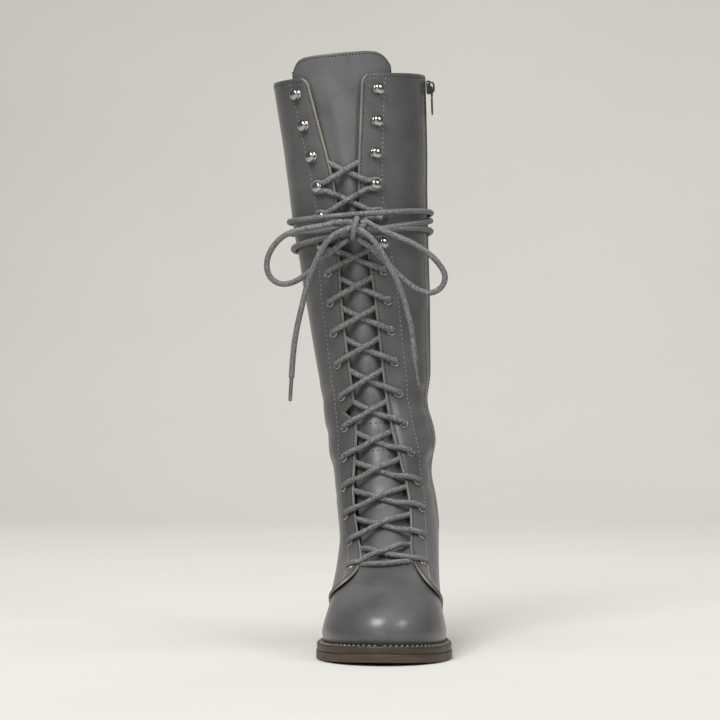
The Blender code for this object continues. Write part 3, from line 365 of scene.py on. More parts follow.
class Mesher:
    """Collects grids of millimetre points and the faces between them."""

    def __init__(self):
        self.points = []
        self.faces = []
        self.slots = []
        self.marks = []
        self.count = 0

    def add(self, grid):
        """Keeps a grid of points and returns the number of each."""
        index = self.count + np.arange(grid[..., 0].size).reshape(grid.shape[:-1])
        self.points.append(grid.reshape(-1, 3))
        self.count += index.size
        return index

    def fill(self, index, slot=0, marks=None):
        """Quads between neighbours of a grid of point numbers; marks are texture places of the same grid."""
        quads = np.stack([index[:-1, :-1], index[:-1, 1:], index[1:, 1:], index[1:, :-1]], -1)
        self.faces.extend(quads.reshape(-1, 4).tolist())
        self.slots.extend([slot] * (quads.size // 4))
        if marks is None:
            marks = np.zeros(index.shape + (2,))
        places = np.stack([marks[:-1, :-1], marks[:-1, 1:], marks[1:, 1:], marks[1:, :-1]], -2)
        self.marks.extend(places.reshape(-1, 2).tolist())

    def bridge(self, low, high, slot=0):
        self.fill(np.stack([low, high]), slot)

    def ring(self, low, high):
        """Closed band between two rings of points."""
        self.bridge(np.append(low, low[0]), np.append(high, high[0]))

    def hem(self, front, back):
        """Rim between the borders of a sheet's front and back."""
        for border in (np.s_[0, :], np.s_[-1, :], np.s_[:, 0], np.s_[:, -1]):
            self.bridge(front[border], back[border])

    def face(self, corners):
        self.faces.append([int(corner) for corner in corners])
        self.slots.append(0)
        self.marks.extend([(0.0, 0.0)] * len(corners))

    def closed(self, index, marks=None):
        """Solid between stacked rings of points, with a face at either end."""
        self.fill(np.concatenate([index, index[:, :1]], axis=1), 0, marks)
        self.face(index[0][::-1])
        self.face(index[-1])

    def tube(self, line, ups, half_side, half_up, sides=12):
        """Closed tube along a line, flattened along the ups; its texture runs round and along it."""
        line = np.asarray(line, float)
        along = np.gradient(line, axis=0)
        along /= np.linalg.norm(along, axis=1, keepdims=True)
        side = np.cross(along, np.broadcast_to(ups, line.shape))
        side /= np.linalg.norm(side, axis=1, keepdims=True)
        up = np.cross(side, along)
        turn = np.linspace(0, 2 * math.pi, sides, endpoint=False)
        half_side = np.broadcast_to(half_side, len(line))[:, None, None]
        half_up = np.broadcast_to(half_up, len(line))[:, None, None]
        across = np.cos(turn)[None, :, None] * side[:, None, :] * half_side
        raised = np.sin(turn)[None, :, None] * up[:, None, :] * half_up
        index = self.add(line[:, None, :] + across + raised)
        marks = np.zeros((len(line), sides + 1, 2))
        marks[..., 0] = np.linspace(0, 1, sides + 1)[None, :]
        marks[..., 1] = run_length(line)[:, None] / (2 * math.pi * LACE_RADIUS)
        self.closed(index, marks)

    def mesh(self, name, materials, sharp=50.0, weld=True):
        mesh = bpy.data.meshes.new(name)
        mesh.from_pydata((np.concatenate(self.points) * MM).tolist(), [], self.faces)
        for material in materials:
            mesh.materials.append(material)
        mesh.polygons.foreach_set("material_index", self.slots)
        mesh.uv_layers.new(name="UVMap").uv.foreach_set("vector", np.ravel(self.marks))
        work = bmesh.new()
        work.from_mesh(mesh)
        if weld:
            bmesh.ops.remove_doubles(work, verts=work.verts, dist=1e-6)
        bmesh.ops.recalc_face_normals(work, faces=work.faces)
        work.to_mesh(mesh)
        work.free()
        mesh.shade_smooth()
        mesh.set_sharp_from_angle(angle=math.radians(sharp))
        return mesh


def show(name, mesh, slot, *nodes, body=BODY, place=None):
    """Adds a piece that rides on a body and stands for some nodes; the material slot's name that it takes is
    not used.
    """
    obj = bpy.data.objects.new(name, mesh)
    bpy.context.scene.collection.objects.link(obj)
    if place:
        obj.matrix_world = place
    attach(obj, body)
    if nodes:
        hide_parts(*nodes)
    return obj


def dress(name, build, look, slot, *nodes, body=BODY, place=None, **finish):
    """Shows what a mesher has collected as a piece in one look."""
    return show(name, build.mesh(name, [look], **finish), slot, *nodes, body=body, place=place)


def bell(distance, half_width):
    return np.exp(-((distance / half_width) ** 2))


def step_up(value):
    """Smooth step from 0 to 1 over the unit interval."""
    value = np.clip(value, 0, 1)
    return value * value * (3 - 2 * value)


def inside_edge(row, distance, lateral, notched=True):
    """Signed angle of the place this far behind the quarters' front edge."""
    steps, run = ring_run(row, math.pi, 120)
    edge = np.interp(edge_angle(row, lateral and notched), steps, run)
    return (-1 if lateral else 1) * np.interp(edge + distance, run, steps)


PLACES = hardware_places()


def crease_swell(points, angle):
    """Soft troughs with a ridge beside them, placed round the ankle and shaft."""
    swell = np.zeros(points.shape[:-1])
    degrees = np.degrees(angle) % 360
    for height, middle, rise, half_length, half_width, depth in CREASES:
        along = np.radians(degrees - middle) * CREASE_TURN
        off = points[..., 2] - height - rise * along
        ridge = RIDGE_SIZE * bell(off - RIDGE_PLACE * half_width, RIDGE_WIDTH * half_width)
        swell += bell(along, half_length) * depth * (ridge - bell(off, half_width))
    return swell


def soft_waves(points):
    """Slow unevenness of leather that has been worn."""
    x, y, z = points[..., 0], points[..., 1], points[..., 2]
    slow = np.sin(z / 23.0 + x / 31.0) * np.sin(y / 27.0 - z / 41.0 + 0.7)
    quick = np.sin(z / 9.5 - y / 17.0) * np.sin(x / 13.0 + z / 19.0 + 2.0)
    return SLOW_WAVE * slow + QUICK_WAVE * quick


def dimples(points):
    """Leather pressed in under the fittings."""
    dent = np.zeros(points.shape[:-1])
    for row, angle in PLACES:
        for side in (1, -1):
            away = np.linalg.norm(points - base_skin(side * angle, row), axis=-1)
            dent -= DIMPLE_DEPTH * bell(away, DIMPLE_RADIUS)
    return dent


# Places of the quarters' mesh columns: distances behind the front edge, from the zip and from the back seam
EDGE_COLUMNS = np.array([
    0.0, 0.2, 0.5, 0.9, 1.4, 1.8, 2.1, 2.4, 2.8, 3.3, 4.2, 5.6, 7.2, 8.8, 10.4, 12.0, 13.6, 15.2, 16.6, 17.5,
    18.0, 18.4, 18.8, 19.4, 20.6, 23.0, 26.0,
])
ZIP_COLUMNS = np.array([0.0, 1.2, 2.3, 2.9, 3.3, 3.7, 4.2, 4.8, 5.2, 5.6, 6.0, 6.6, 7.6, 9.0, 11.0])
BACK_COLUMNS = np.array([0.0, 0.4, 0.8, 1.3, 1.9, 2.5, 3.4, 5.0, 7.0])
FRONT_FILL, SIDE_FILL, BACK_FILL = 16, 24, 30
EDGE_TO_ZIP = 46.0
CORNER_SHARES = (1.0, 0.8, 0.6, 0.42, 0.3, 0.18, 0.08, 0.03)


def quarter_rows():
    """Ring positions of the quarters' mesh, close together at the notch and at the collar."""
    notch = [row_at_height(NOTCH_HEIGHT + k * NOTCH_HALF_HEIGHT) for k in np.linspace(-1, 1, 13)]
    corner = [row_at_height(RINGS["collar"][1] - CORNER_RADIUS * share) for share in CORNER_SHARES]
    lower = np.linspace(0, THROAT_BASE, 62)
    below = np.linspace(THROAT_BASE, notch[0], 44)[1:]
    above = np.linspace(notch[-1], corner[0], 88)
    return np.concatenate([lower, below, notch[1:-1], above, corner[1:], [COLLAR]])


def spread(start, end, first, last, count, scale):
    """Distances from start to end: one group at each end, scaled, and even places between them."""
    near = start + first * scale
    far = end - last[::-1] * scale
    middle = np.linspace(near[-1], far[0], count + 2)[1:-1]
    return np.concatenate([near, middle, far])


def quarter_columns(row):
    """Angles of one row of the quarters, with distances from the front edge, the zip and the back seam."""
    steps, run = ring_run(row, 2 * math.pi, 361)
    medial = np.interp(edge_angle(row, False), steps, run)
    lateral = np.interp(2 * math.pi - edge_angle(row, True), steps, run)
    zip_run = np.interp(math.radians(ZIP_ANGLE), steps, run)
    back_run = np.interp(math.pi, steps, run)
    scale = min(1.0, (zip_run - medial) / EDGE_TO_ZIP)
    places = np.concatenate([
        spread(medial, zip_run, EDGE_COLUMNS, ZIP_COLUMNS, FRONT_FILL, scale),
        spread(zip_run, back_run, ZIP_COLUMNS, BACK_COLUMNS, SIDE_FILL, 1.0)[1:],
        spread(back_run, lateral, BACK_COLUMNS, EDGE_COLUMNS, BACK_FILL, 1.0)[1:],
    ])
    from_edge = np.minimum(places - medial, lateral - places)
    return np.interp(places, run, steps), from_edge, np.abs(places - zip_run), np.abs(places - back_run)


def tip_lift(row, from_edge):
    """How far the quarters' front tips stand off the vamp."""
    return TIP_LIFT * bell(row - TIP_ROW, TIP_ROWS) * (1 - step_up(from_edge / TIP_WIDTH))


def depth_below_collar(points, angle):
    collar = base_skin(angle, np.full(angle.shape, float(COLLAR)))
    return np.maximum(collar[..., 2] - points[..., 2], 0)


def worn_level(points, angle):
    """How far the worn leather rises or falls at points of the quarters, calm at the collar."""
    calm = step_up(depth_below_collar(points, angle) / COLLAR_CALM)
    return (crease_swell(points, angle) + soft_waves(points)) * calm


def make_quarters(materials):
    """Shaft, facings and quarters: one leather sheet with rounded cut edges, grooves and creases."""
    rows = quarter_rows()
    columns = zip(*[quarter_columns(row) for row in rows])
    angle, from_edge, from_zip, from_back = (np.array(part) for part in columns)
    row_grid = np.repeat(rows[:, None], angle.shape[1], axis=1)
    points = base_skin(angle, row_grid)
    below_collar = depth_below_collar(points, angle)
    out = np.full(angle.shape, QUARTER_STEP)
    lifted = tip_lift(row_grid, from_edge)
    out += lifted
    out -= EDGE_ROUND * np.clip(1 - from_edge / EDGE_ROUND_WIDTH, 0, 1) ** 1.5
    out -= COLLAR_ROUND * np.clip(1 - below_collar / EDGE_ROUND_WIDTH, 0, 1) ** 2
    out -= GROOVE_DEPTH * bell(from_edge - SEAM_INSET, GROOVE_HALF_WIDTH)
    out -= GROOVE_DEPTH * bell(below_collar - SEAM_INSET, GROOVE_HALF_WIDTH) * (from_edge > SEAM_INSET)
    zipped = step_up((row_grid - ZIP_FOOT) / ZIP_FOOT_BLEND)
    out -= zipped * ZIP_RECESS * step_up((ZIP_RECESS_EDGE - from_zip) / ZIP_RECESS_BLEND + 0.5)
    out += zipped * ZIP_LIP * bell(from_zip - ZIP_RECESS_EDGE - ZIP_LIP_PLACE, ZIP_LIP_WIDTH)
    out -= zipped * GROOVE_DEPTH * bell(from_zip - ZIP_SEAM_INSET, GROOVE_HALF_WIDTH)
    out -= BACK_GROOVE * bell(from_back, BACK_GROOVE_HALF_WIDTH)
    out -= GROOVE_DEPTH * bell(from_back - BACK_SEAM_INSET, GROOVE_HALF_WIDTH)
    calm = step_up(from_edge / EDGE_CALM) * step_up((from_zip - ZIP_CALM_START) / ZIP_CALM + 1 - zipped)
    out += worn_level(points, angle) * calm
    out += dimples(points)
    thin = 1 - step_up((from_edge - FACING_WIDTH) / FACING_BLEND)
    inside = -WALL + (FACING_INSIDE + WALL) * thin + lifted
    inside = np.minimum(inside, out - THINNEST_LEATHER)
    build = Mesher()
    outer = build.add(skin(angle, row_grid, out))
    inner = build.add(skin(angle, row_grid, inside))
    build.fill(outer[:, :RAW_COLUMNS], 2)
    build.fill(outer[:, RAW_COLUMNS - 1 : 1 - RAW_COLUMNS], 0)
    build.fill(outer[:, -RAW_COLUMNS:], 2)
    build.fill(inner, 1)
    build.bridge(outer[-1], inner[-1], 0)
    build.bridge(outer[0], inner[0], 2)
    build.bridge(outer[:, 0], inner[:, 0], 2)
    build.bridge(outer[:, -1], inner[:, -1], 2)
    return build.mesh("quarters", materials, weld=False)


def punch_holes(mesh, materials):
    """Round holes through the facings under the eyelets."""
    cutter = bmesh.new()
    for row, angle in PLACES[ROWS_OF_HOOKS:]:
        for side in (1, -1):
            place = standing(side * angle, row, 0.0)
            bmesh.ops.create_cone(
                cutter, cap_ends=True, segments=PUNCH_SIDES, radius1=EYELET_HOLE * MM,
                radius2=EYELET_HOLE * MM, depth=PUNCH_LENGTH * MM, matrix=place,
            )
    cutter_mesh = bpy.data.meshes.new("holes")
    cutter.to_mesh(cutter_mesh)
    cutter.free()
    for material in materials:
        cutter_mesh.materials.append(material)
    cutter_mesh.polygons.foreach_set("material_index", [2] * len(cutter_mesh.polygons))
    tool = bpy.data.objects.new("holes", cutter_mesh)
    work = bpy.data.objects.new("punched", mesh)
    for obj in (tool, work):
        bpy.context.scene.collection.objects.link(obj)
    cut = work.modifiers.new("holes", "BOOLEAN")
    cut.operation = "DIFFERENCE"
    cut.object = tool
    bpy.context.view_layer.update()
    punched = bpy.data.meshes.new_from_object(work.evaluated_get(bpy.context.evaluated_depsgraph_get()))
    for obj in (tool, work):
        bpy.data.objects.remove(obj)
    punched.name = "upper_quarters"
    return punched


def standing(angle, row, out):
    """Matrix with Z along the surface's normal and Y up the leg, at a place on the skin."""
    normal = Vector(normals(angle, row))
    side = Vector((0, 0, 1)).cross(normal).normalized()
    turn = Matrix((side, normal.cross(side), normal)).transposed().to_4x4()
    return Matrix.Translation(Vector(skin(angle, row, out) * MM)) @ turn


def make_vamp(materials):
    """Toe and vamp, tucked under the quarters along the derby seam."""
    rows = np.linspace(0, THROAT_BASE + VAMP_TOP, 72)
    share = np.sin(np.linspace(-math.pi / 2, math.pi / 2, 73))
    angle = np.zeros((len(rows), len(share)))
    hidden = np.zeros(angle.shape)
    for k, row in enumerate(rows):
        steps, run = ring_run(row, math.pi, 200)
        edge = np.interp(edge_angle(min(row, THROAT_BASE), False), steps, run)
        places = share * (edge + VAMP_TUCK)
        angle[k] = np.sign(places) * np.interp(np.abs(places), run, steps)
        hidden[k] = np.abs(places) - edge
    row_grid = np.repeat(rows[:, None], len(share), axis=1)
    points = base_skin(angle, row_grid)
    out = -VAMP_TUCK_DEPTH * step_up((hidden + VAMP_TUCK_START) / VAMP_TUCK_BLEND)
    across = points[..., 0]
    fade = bell(across - FLEX_FADE_MIDDLE, FLEX_FADE) * (points[..., 2] > FLEX_FLOOR)
    for place, half_width, depth in FLEX_LINES:
        bow = points[..., 1] - place - ((across - FLEX_MIDDLE) / FLEX_SPAN) ** 2 * FLEX_BOW
        out -= depth * bell(bow, half_width) * fade
    out += VAMP_WAVES * soft_waves(points)
    out -= VAMP_SINK * step_up((row_grid - THROAT_BASE + VAMP_SINK_START) / VAMP_SINK_BLEND)
    build = Mesher()
    outer = build.add(skin(angle, row_grid, out))
    inner = build.add(skin(angle, row_grid, np.minimum(out - VAMP_THINNEST, -WALL)))
    build.fill(outer, 0)
    build.fill(inner, 1)
    build.hem(outer, inner)
    return build.mesh("upper_vamp", materials, weld=False)


HARDWARE_ROWS = np.array([row for row, angle in PLACES])


def tongue_level(row, arc):
    """Distance of the tongue's face from the last: swollen between the facings, pressed in by the lace."""
    row, arc = np.broadcast_arrays(np.asarray(row, float), np.asarray(arc, float))
    height = base_skin(np.zeros(row.shape), row)[..., 2]
    half_gap = (spline_weights(THROAT_HEIGHTS, height) @ np.array(THROAT_HALF_GAPS)).reshape(row.shape)
    half_gap = np.maximum(half_gap, LEAST_HALF_GAP)
    between = np.where(np.abs(arc) < half_gap, np.cos(np.pi / 2 * arc / half_gap) ** 2, 0.0)
    laced = step_up((PLACES[TOP_LACED][0] - row) / LACED_BLEND)
    number = np.interp(row, HARDWARE_ROWS[::-1], np.arange(len(HARDWARE_ROWS))[::-1])
    puff = TONGUE_BULGE + TONGUE_PUFF * np.cos(2 * np.pi * number)
    low = 1 - step_up((row - THROAT_BASE) / FOOT_BULGE_ROWS)
    swell = laced * (puff * (1 - low) + TONGUE_FOOT_BULGE * low)
    sunk = step_up((np.abs(arc) / half_gap - SUNK_START) / SUNK_BLEND)
    sunk = sunk * step_up((COLLAR - SUNK_TOP - row) / SUNK_TOP_BLEND)
    return -WALL - TONGUE_CLEARANCE + between * swell - TONGUE_RECESS * sunk


def make_tongue(materials):
    """Long tongue with rounded top corners, rolled edges, a sewn band and a swell between the facings."""
    ring_of_width = [RING_NAMES.index(name) for name in TONGUE_HALF_WIDTHS]
    share = np.sin(np.linspace(-math.pi / 2, math.pi / 2, 49))
    share = np.sign(share) * np.abs(share) ** 0.8
    top = COLLAR + TONGUE_RISE + TONGUE_TILT * share - TONGUE_CORNER * np.abs(share) ** TONGUE_SQUARENESS
    body_rows = np.linspace(TONGUE_FOOT, COLLAR - 0.5, 150)
    head = 1 - (1 - np.linspace(0, 1, 36)[1:]) ** 1.5
    rows = np.vstack([
        np.repeat(body_rows[:, None], len(share), axis=1),
        body_rows[-1] + head[:, None] * (top - body_rows[-1])[None, :],
    ])
    angle = np.zeros(rows.shape)
    arc = np.zeros(rows.shape)
    for k, row in enumerate(rows[:, len(share) // 2]):
        half = np.interp(row, ring_of_width, list(TONGUE_HALF_WIDTHS.values()))
        arc[k] = share * half
        angle[k] = share * angle_of_arc(half, row) + math.radians(TONGUE_TURN) * row / COLLAR
    points = base_skin(angle, rows)
    from_side = np.abs(arc).max(axis=1, keepdims=True) - np.abs(arc)
    from_top = np.linalg.norm(points - points[-1], axis=-1)
    rim = np.minimum(from_side, from_top)
    out = tongue_level(rows, arc)
    height = points[..., 2]
    band = step_up((height - TONGUE_BAND_LOW) / BAND_RAMP) * step_up((TONGUE_BAND_HIGH - height) / BAND_RAMP)
    out = out + TONGUE_BAND_RISE * band + TONGUE_WAVES * soft_waves(points)
    rounding = TONGUE_ROUND * np.clip(1 - rim / TONGUE_ROUND_WIDTH, 0, 1) ** 2
    groove = GROOVE_DEPTH * bell(rim - TONGUE_SEAM_INSET, GROOVE_HALF_WIDTH)
    behind = np.minimum(out, -WALL - TONGUE_CLEARANCE) - TONGUE_THICKNESS
    build = Mesher()
    outer = build.add(skin(angle, rows, out - rounding - groove))
    inner = build.add(skin(angle, rows, behind + rounding))
    build.fill(outer, 0)
    build.fill(inner, 1)
    build.hem(outer, inner)
    return build.mesh("tongue_leather", materials, weld=False), angle, rows, out, rim


# Sole edges, heel layers and the fittings' small shapes
HEEL_LAYERS, LAYER_GROOVE, SOLE_SHARP = 6, 0.3, 40.0
HARDWARE_SEAT = 0.8
EYELET_PROFILE = (
    (2.3, -2.6), (2.3, 0.2), (2.36, 0.55), (2.6, 0.85), (2.95, 0.95), (3.3, 0.85), (3.62, 0.5), (3.75, 0.05),
    (3.75, -0.5),
)
HOOK_PROFILE = (
    (0.0, -0.9), (3.6, -0.9), (3.7, -0.3), (3.3, 0.1), (2.5, 0.4), (2.3, 0.8), (2.5, 1.2), (3.3, 1.6),
    (3.95, 2.3), (4.15, 3.1), (3.95, 3.9), (3.4, 4.6), (2.5, 5.1), (1.3, 5.4), (0.0, 5.5),
)
SLIDER_HEIGHT, SLIDER_SIZE = 415.0, (8.4, 10.5, 2.6)
BAIL_RADIUS, BAIL_HALF_SPAN, BAIL_CLEAR = 0.7, 3.6, 1.0
TAB_WIDTH, TAB_LENGTH, TAB_THICKNESS = 6.4, 21.0, 1.0
TAB_RING_LENGTH, TAB_RING_HALF_WIDTH = 6.0, 0.55
RUNNER_ROUND, BLADE_ROUND, PLATE_SHARP = 0.8, 0.5, 70.0
PLATE_PROFILE = ((1.0, -0.5), (0.3, -0.42), (0.0, -0.2), (0.0, 0.2), (0.3, 0.42), (1.0, 0.5))
TAPE_ACROSS, TAPE_SEAT, TAPE_TOP, TAPE_BACK = (-3.4, -1.5, 0.0, 1.5, 3.4), 0.1, 0.35, 0.2
TOOTH_PITCH, TOOTH_SIZE, TOOTH_LIFT, TOOTH_SHIFT = 2.3, (2.2, 1.2, 1.0), 0.7, 0.75
# Lace: how flat it lies under a facing and how high over another strand, the arch of the low strands,
# points along each line, and the lift of the wraps where one crosses another
LACE_PRESSED, LACE_STRAND_LIFT, LACE_SIDES = 0.62, 2.9, 14
STRAND_ARCH, STRAND_ARCH_FOOT, STRAND_ARCH_ROWS, BAR_RISE = 0.2, 5.2, 2.4, 0.25
STRAND_POINTS, WRAP_POINTS, LOOP_POINTS, END_POINTS = 44, 260, 110, 70
WRAP_LIFT, WRAP_CROSSING, WRAP_CROSSING_SPAN = 0.2, 2.467, 0.13
AGLET_RADIUS, AGLET_OVERLAP = 1.45, 0.4
AGLET_PROFILE = (
    (0.0, 1.25), (0.02, 1.12), (0.05, 1.05), (0.1, 1.0), (0.5, 0.97), (0.92, 0.95), (0.97, 0.8), (1.0, 0.45),
)
HANGING_UP = (0.0, -1.0, 0.3)
SHAFT_MIDDLE = np.array([0.0, -10.0, 0.0])


def sole_line(angles, margin, height, side=1):
    """Outline of the sole seen from above at a distance outside the feather line, on a given height."""
    line = base_skin(side * angles, np.zeros(angles.shape))
    outward = normals(side * angles, np.zeros(angles.shape))
    along = (1 - np.cos(angles)) / 2
    by_station = spline_weights(list(STATIONS.values()), along)
    line = line + outward * (by_station @ np.broadcast_to(margin, len(STATIONS)))[:, None]
    line[:, 2] = height(line[:, 1])
    return line


def station_angle(y):
    return math.acos(1 - 2 * (y - FEATHER_FRONT) / (FEATHER_BACK - FEATHER_FRONT))


def sole_margins(inset=0.0):
    return np.array(list(SOLE_MARGIN.values())) - inset


def show_slab(name, angles, levels, look, slot, node):
    """Solid between stacked outlines of the sole; each level is a margin and a height over the length."""
    build = Mesher()
    rings = []
    for margin, height in levels:
        right = sole_line(angles, margin, height, 1)
        left = sole_line(angles, margin, height, -1)
        rings.append((build.add(right), build.add(left)))
    for (right, left), (next_right, next_left) in zip(rings[:-1], rings[1:]):
        build.bridge(right, next_right)
        build.bridge(next_left, left)
        build.face([right[0], left[0], next_left[0], next_right[0]])
        build.face([right[-1], next_right[-1], next_left[-1], left[-1]])
    for right, left in (rings[0], rings[-1]):
        build.bridge(right, left)
    dress(name, build, look, slot, node, sharp=SOLE_SHARP)


def raised(height, amount):
    return lambda y: height(y) + amount


def edge_rounding(bottom, thickness, inset, bevel):
    """Levels of a sole layer with rounded upper and lower edges."""
    quarter_turn = np.linspace(0, math.pi / 2, 5)
    rims = [(bevel * (1 - math.sin(turn)), bevel * (1 - math.cos(turn))) for turn in quarter_turn]
    low = [(sole_margins(inset + back), raised(bottom, rise)) for back, rise in rims]
    high = [(sole_margins(inset + back), raised(bottom, thickness - rise)) for back, rise in reversed(rims)]
    return low + high


def make_sole(looks):
    fine = np.linspace(0, math.pi, 181)
    levels = edge_rounding(sole_underside, OUTSOLE_THICKNESS, 0.0, OUTSOLE_BEVEL)
    show_slab("outsole_leather", fine, levels, looks["outsole"], "outsole", "outsole")
    breast = station_angle(HEEL_BREAST)
    heel = np.linspace(breast, math.pi, 90)
    top = raised(sole_underside, -GAP)
    foot = TOP_PIECE_THICKNESS + GAP
    levels = []
    for k in range(HEEL_LAYERS):
        for share, groove in ((0.0, LAYER_GROOVE), (0.12, 0.0), (0.88, 0.0), (1.0, LAYER_GROOVE)):
            part = (k + share) / HEEL_LAYERS
            height = (lambda y, part=part: foot + part * (top(y) - foot))
            levels.append((sole_margins(HEEL_TAPER * (1 - part) + groove), height))
    show_slab("heel_layers", heel, levels, looks["welt"], "welt", "heel_stack")
    levels = edge_rounding(lambda y: 0 * y, TOP_PIECE_THICKNESS, HEEL_TAPER, TOP_PIECE_BEVEL)
    show_slab("heel_rubber", heel, levels, looks["rubber"], "rubber", "heel_top_piece")
    inset = WALL + 2 * GAP
    levels = [
        (-inset, welt_underside),
        (-inset, raised(feather_height, INSOLE_RISE - 1.0)),
        (-inset - 0.3, raised(feather_height, INSOLE_RISE - 0.3)),
        (-inset - 1.2, raised(feather_height, INSOLE_RISE)),
    ]
    show_slab("insole_board", fine, levels, looks["insole"], "insole", "insole")


def make_welt(looks):
    """Strip round the sole with a rounded edge, a flat top and a groove for its stitches."""
    fine = np.linspace(0, 2 * math.pi, 361)[:-1]
    side_angles = np.where(fine <= math.pi, fine, 2 * math.pi - fine)
    sides = np.where(fine <= math.pi, 1, -1)
    rim = sole_margins(WELT_SETBACK)
    seam = sole_margins(WELT_SETBACK + WELT_STITCH_INSET)
    inner, top = -WALL, WELT_THICKNESS
    section = [(inner, 0.0), (rim - 0.2, 0.0), (rim, 0.25), (rim, top - WELT_BEVEL)]
    for turn in (0.5, 1.0, 1.5):
        section.append((rim - WELT_BEVEL * (1 - math.cos(turn)), top - WELT_BEVEL * (1 - math.sin(turn))))
    section += [(seam + 0.5, top), (seam, top - 0.4), (seam - 0.5, top), (0.2, top), (inner, top)]
    build = Mesher()
    rings = []
    for margin, rise in section:
        line = np.array([
            sole_line(np.array([angle]), margin, raised(welt_underside, rise), side)[0]
            for angle, side in zip(side_angles, sides)
        ])
        rings.append(build.add(line))
    rings.append(rings[0])
    for low, high in zip(rings[:-1], rings[1:]):
        build.ring(low, high)
    dress("welt_strip", build, looks["welt"], "welt", "welt", sharp=SOLE_SHARP)


def turned_mesh(name, profile, material, steps=32):
    """Mesh turned round its Z axis from a profile of radius and height."""
    build = Mesher()
    profile = np.array(profile)
    turn = np.linspace(0, 2 * math.pi, steps + 1)[:-1]
    radius, height = profile[:, :1], np.repeat(profile[:, 1:], steps, axis=1)
    index = build.add(np.stack([radius * np.cos(turn), radius * np.sin(turn), height], axis=-1))
    closed = profile[0, 0] > 0
    rows = np.concatenate([index, index[:1]]) if closed else index
    build.fill(np.concatenate([rows, rows[:, :1]], axis=1))
    return build.mesh(name, [material], sharp=60)


def make_fittings(looks):
    ring = turned_mesh("eyelet_ring", EYELET_PROFILE, looks["eyelet"])
    ball = turned_mesh("hook_ball", HOOK_PROFILE, looks["nickel"], 40)
    for number, (row, angle) in enumerate(PLACES, start=1):
        kind, mesh = ("hook", ball) if number <= ROWS_OF_HOOKS else ("eyelet", ring)
        for side, turn in (("medial", 1), ("lateral", -1)):
            seat = standing(turn * angle, row, QUARTER_STEP + (HARDWARE_SEAT if kind == "hook" else 0.1))
            place = seat @ Matrix.Rotation(math.pi if turn > 0 else 0.0, 4, "Z")
            name = f"{side}_{number:02d}"
            show(f"{kind}_metal_{name}", mesh, "nickel", f"{kind}_{name}", place=place)


def beside(place, across, up):
    """(angle, row) at millimetres away from the throat and up the leg from a place on the right-hand side."""
    row, angle = place
    nudge = 1e-3
    round_pace = np.linalg.norm(base_skin(angle + nudge, row) - base_skin(angle - nudge, row)) / (2 * nudge)
    up_pace = np.linalg.norm(base_skin(angle, row + nudge) - base_skin(angle, row - nudge)) / (2 * nudge)
    return row + up / up_pace, angle + across / round_pace


def lace_bed(row, angle):
    """Distance of the leather under the lace in the throat: tongue, or vamp below the throat's base."""
    steps, run = ring_run(row, math.pi / 2, 60)
    arc = np.interp(abs(angle), steps, run)
    vamp = -4.0 * step_up((row - THROAT_BASE - 0.05) / 0.4)
    return max(float(tongue_level(row, arc)), float(vamp))


OVER_FACING = QUARTER_STEP + LACE_RADIUS
UNDER_FACING = FACING_INSIDE - LACE_PRESSED * LACE_RADIUS


def crossing(start, end, side, on_top, under_far_edge):
    """Control points of a strand from a place on one side, over the tongue, to the far edge."""
    (row, angle), (next_row, next_angle) = start, end
    near_edge = edge_angle(max(row, THROAT_BASE), False)
    far_edge = edge_angle(max(next_row, THROAT_BASE), False)
    near = (angle - near_edge) / (angle + next_angle)
    far = (angle + far_edge) / (angle + next_angle)
    arch = STRAND_ARCH * (1 - step_up((row - STRAND_ARCH_FOOT) / STRAND_ARCH_ROWS))

    def at(share, out, on_bed=False):
        turn = (1 - share) * angle - share * next_angle
        level = (1 - share) * row + share * next_row + 4 * share * (1 - share) * arch
        return skin(side * turn, level, out + (lace_bed(level, turn) if on_bed else 0.0))

    lift = LACE_STRAND_LIFT if on_top else 0.0
    points = [
        at(near * 0.55, OVER_FACING + 0.25),
        at(near * 0.95, OVER_FACING),
        at(near + 0.4 * (0.5 - near), LACE_RADIUS + 0.6 + 0.8 * lift, True),
        at(0.5, 0.85 * LACE_RADIUS + lift, True),
        at(far - 0.4 * (far - 0.5), LACE_RADIUS + 0.5 * lift, True),
    ]
    if under_far_edge:
        points += [at(far - 0.02, UNDER_FACING + 0.3), at(0.6 * far + 0.4, UNDER_FACING)]
    else:
        points += [at(far + 0.05 * (1 - far), OVER_FACING), at(0.5 * far + 0.5, OVER_FACING)]
    return points


def lay_tube(build, points, count):
    """Round lace along control points, lying on the boot's surface."""
    line = smooth_route(points, count)
    ups = line * (1, 1, 0) - SHAFT_MIDDLE
    build.tube(line, ups / np.linalg.norm(ups, axis=1, keepdims=True), LACE_RADIUS, LACE_RADIUS, LACE_SIDES)


def round_hook(number, side):
    """Control points round the neck of a hook: in from the throat below, behind the neck and out above it."""
    place = PLACES[number]
    out = QUARTER_STEP + HARDWARE_SEAT + 1.7
    points = []
    for across, up in ((-3.4, -3.0), (1.6, -3.2), (3.9, 0.0), (1.6, 3.2), (-3.4, 3.0)):
        row, angle = beside(place, across, up)
        points.append(skin(side * angle, row, out))
    return points


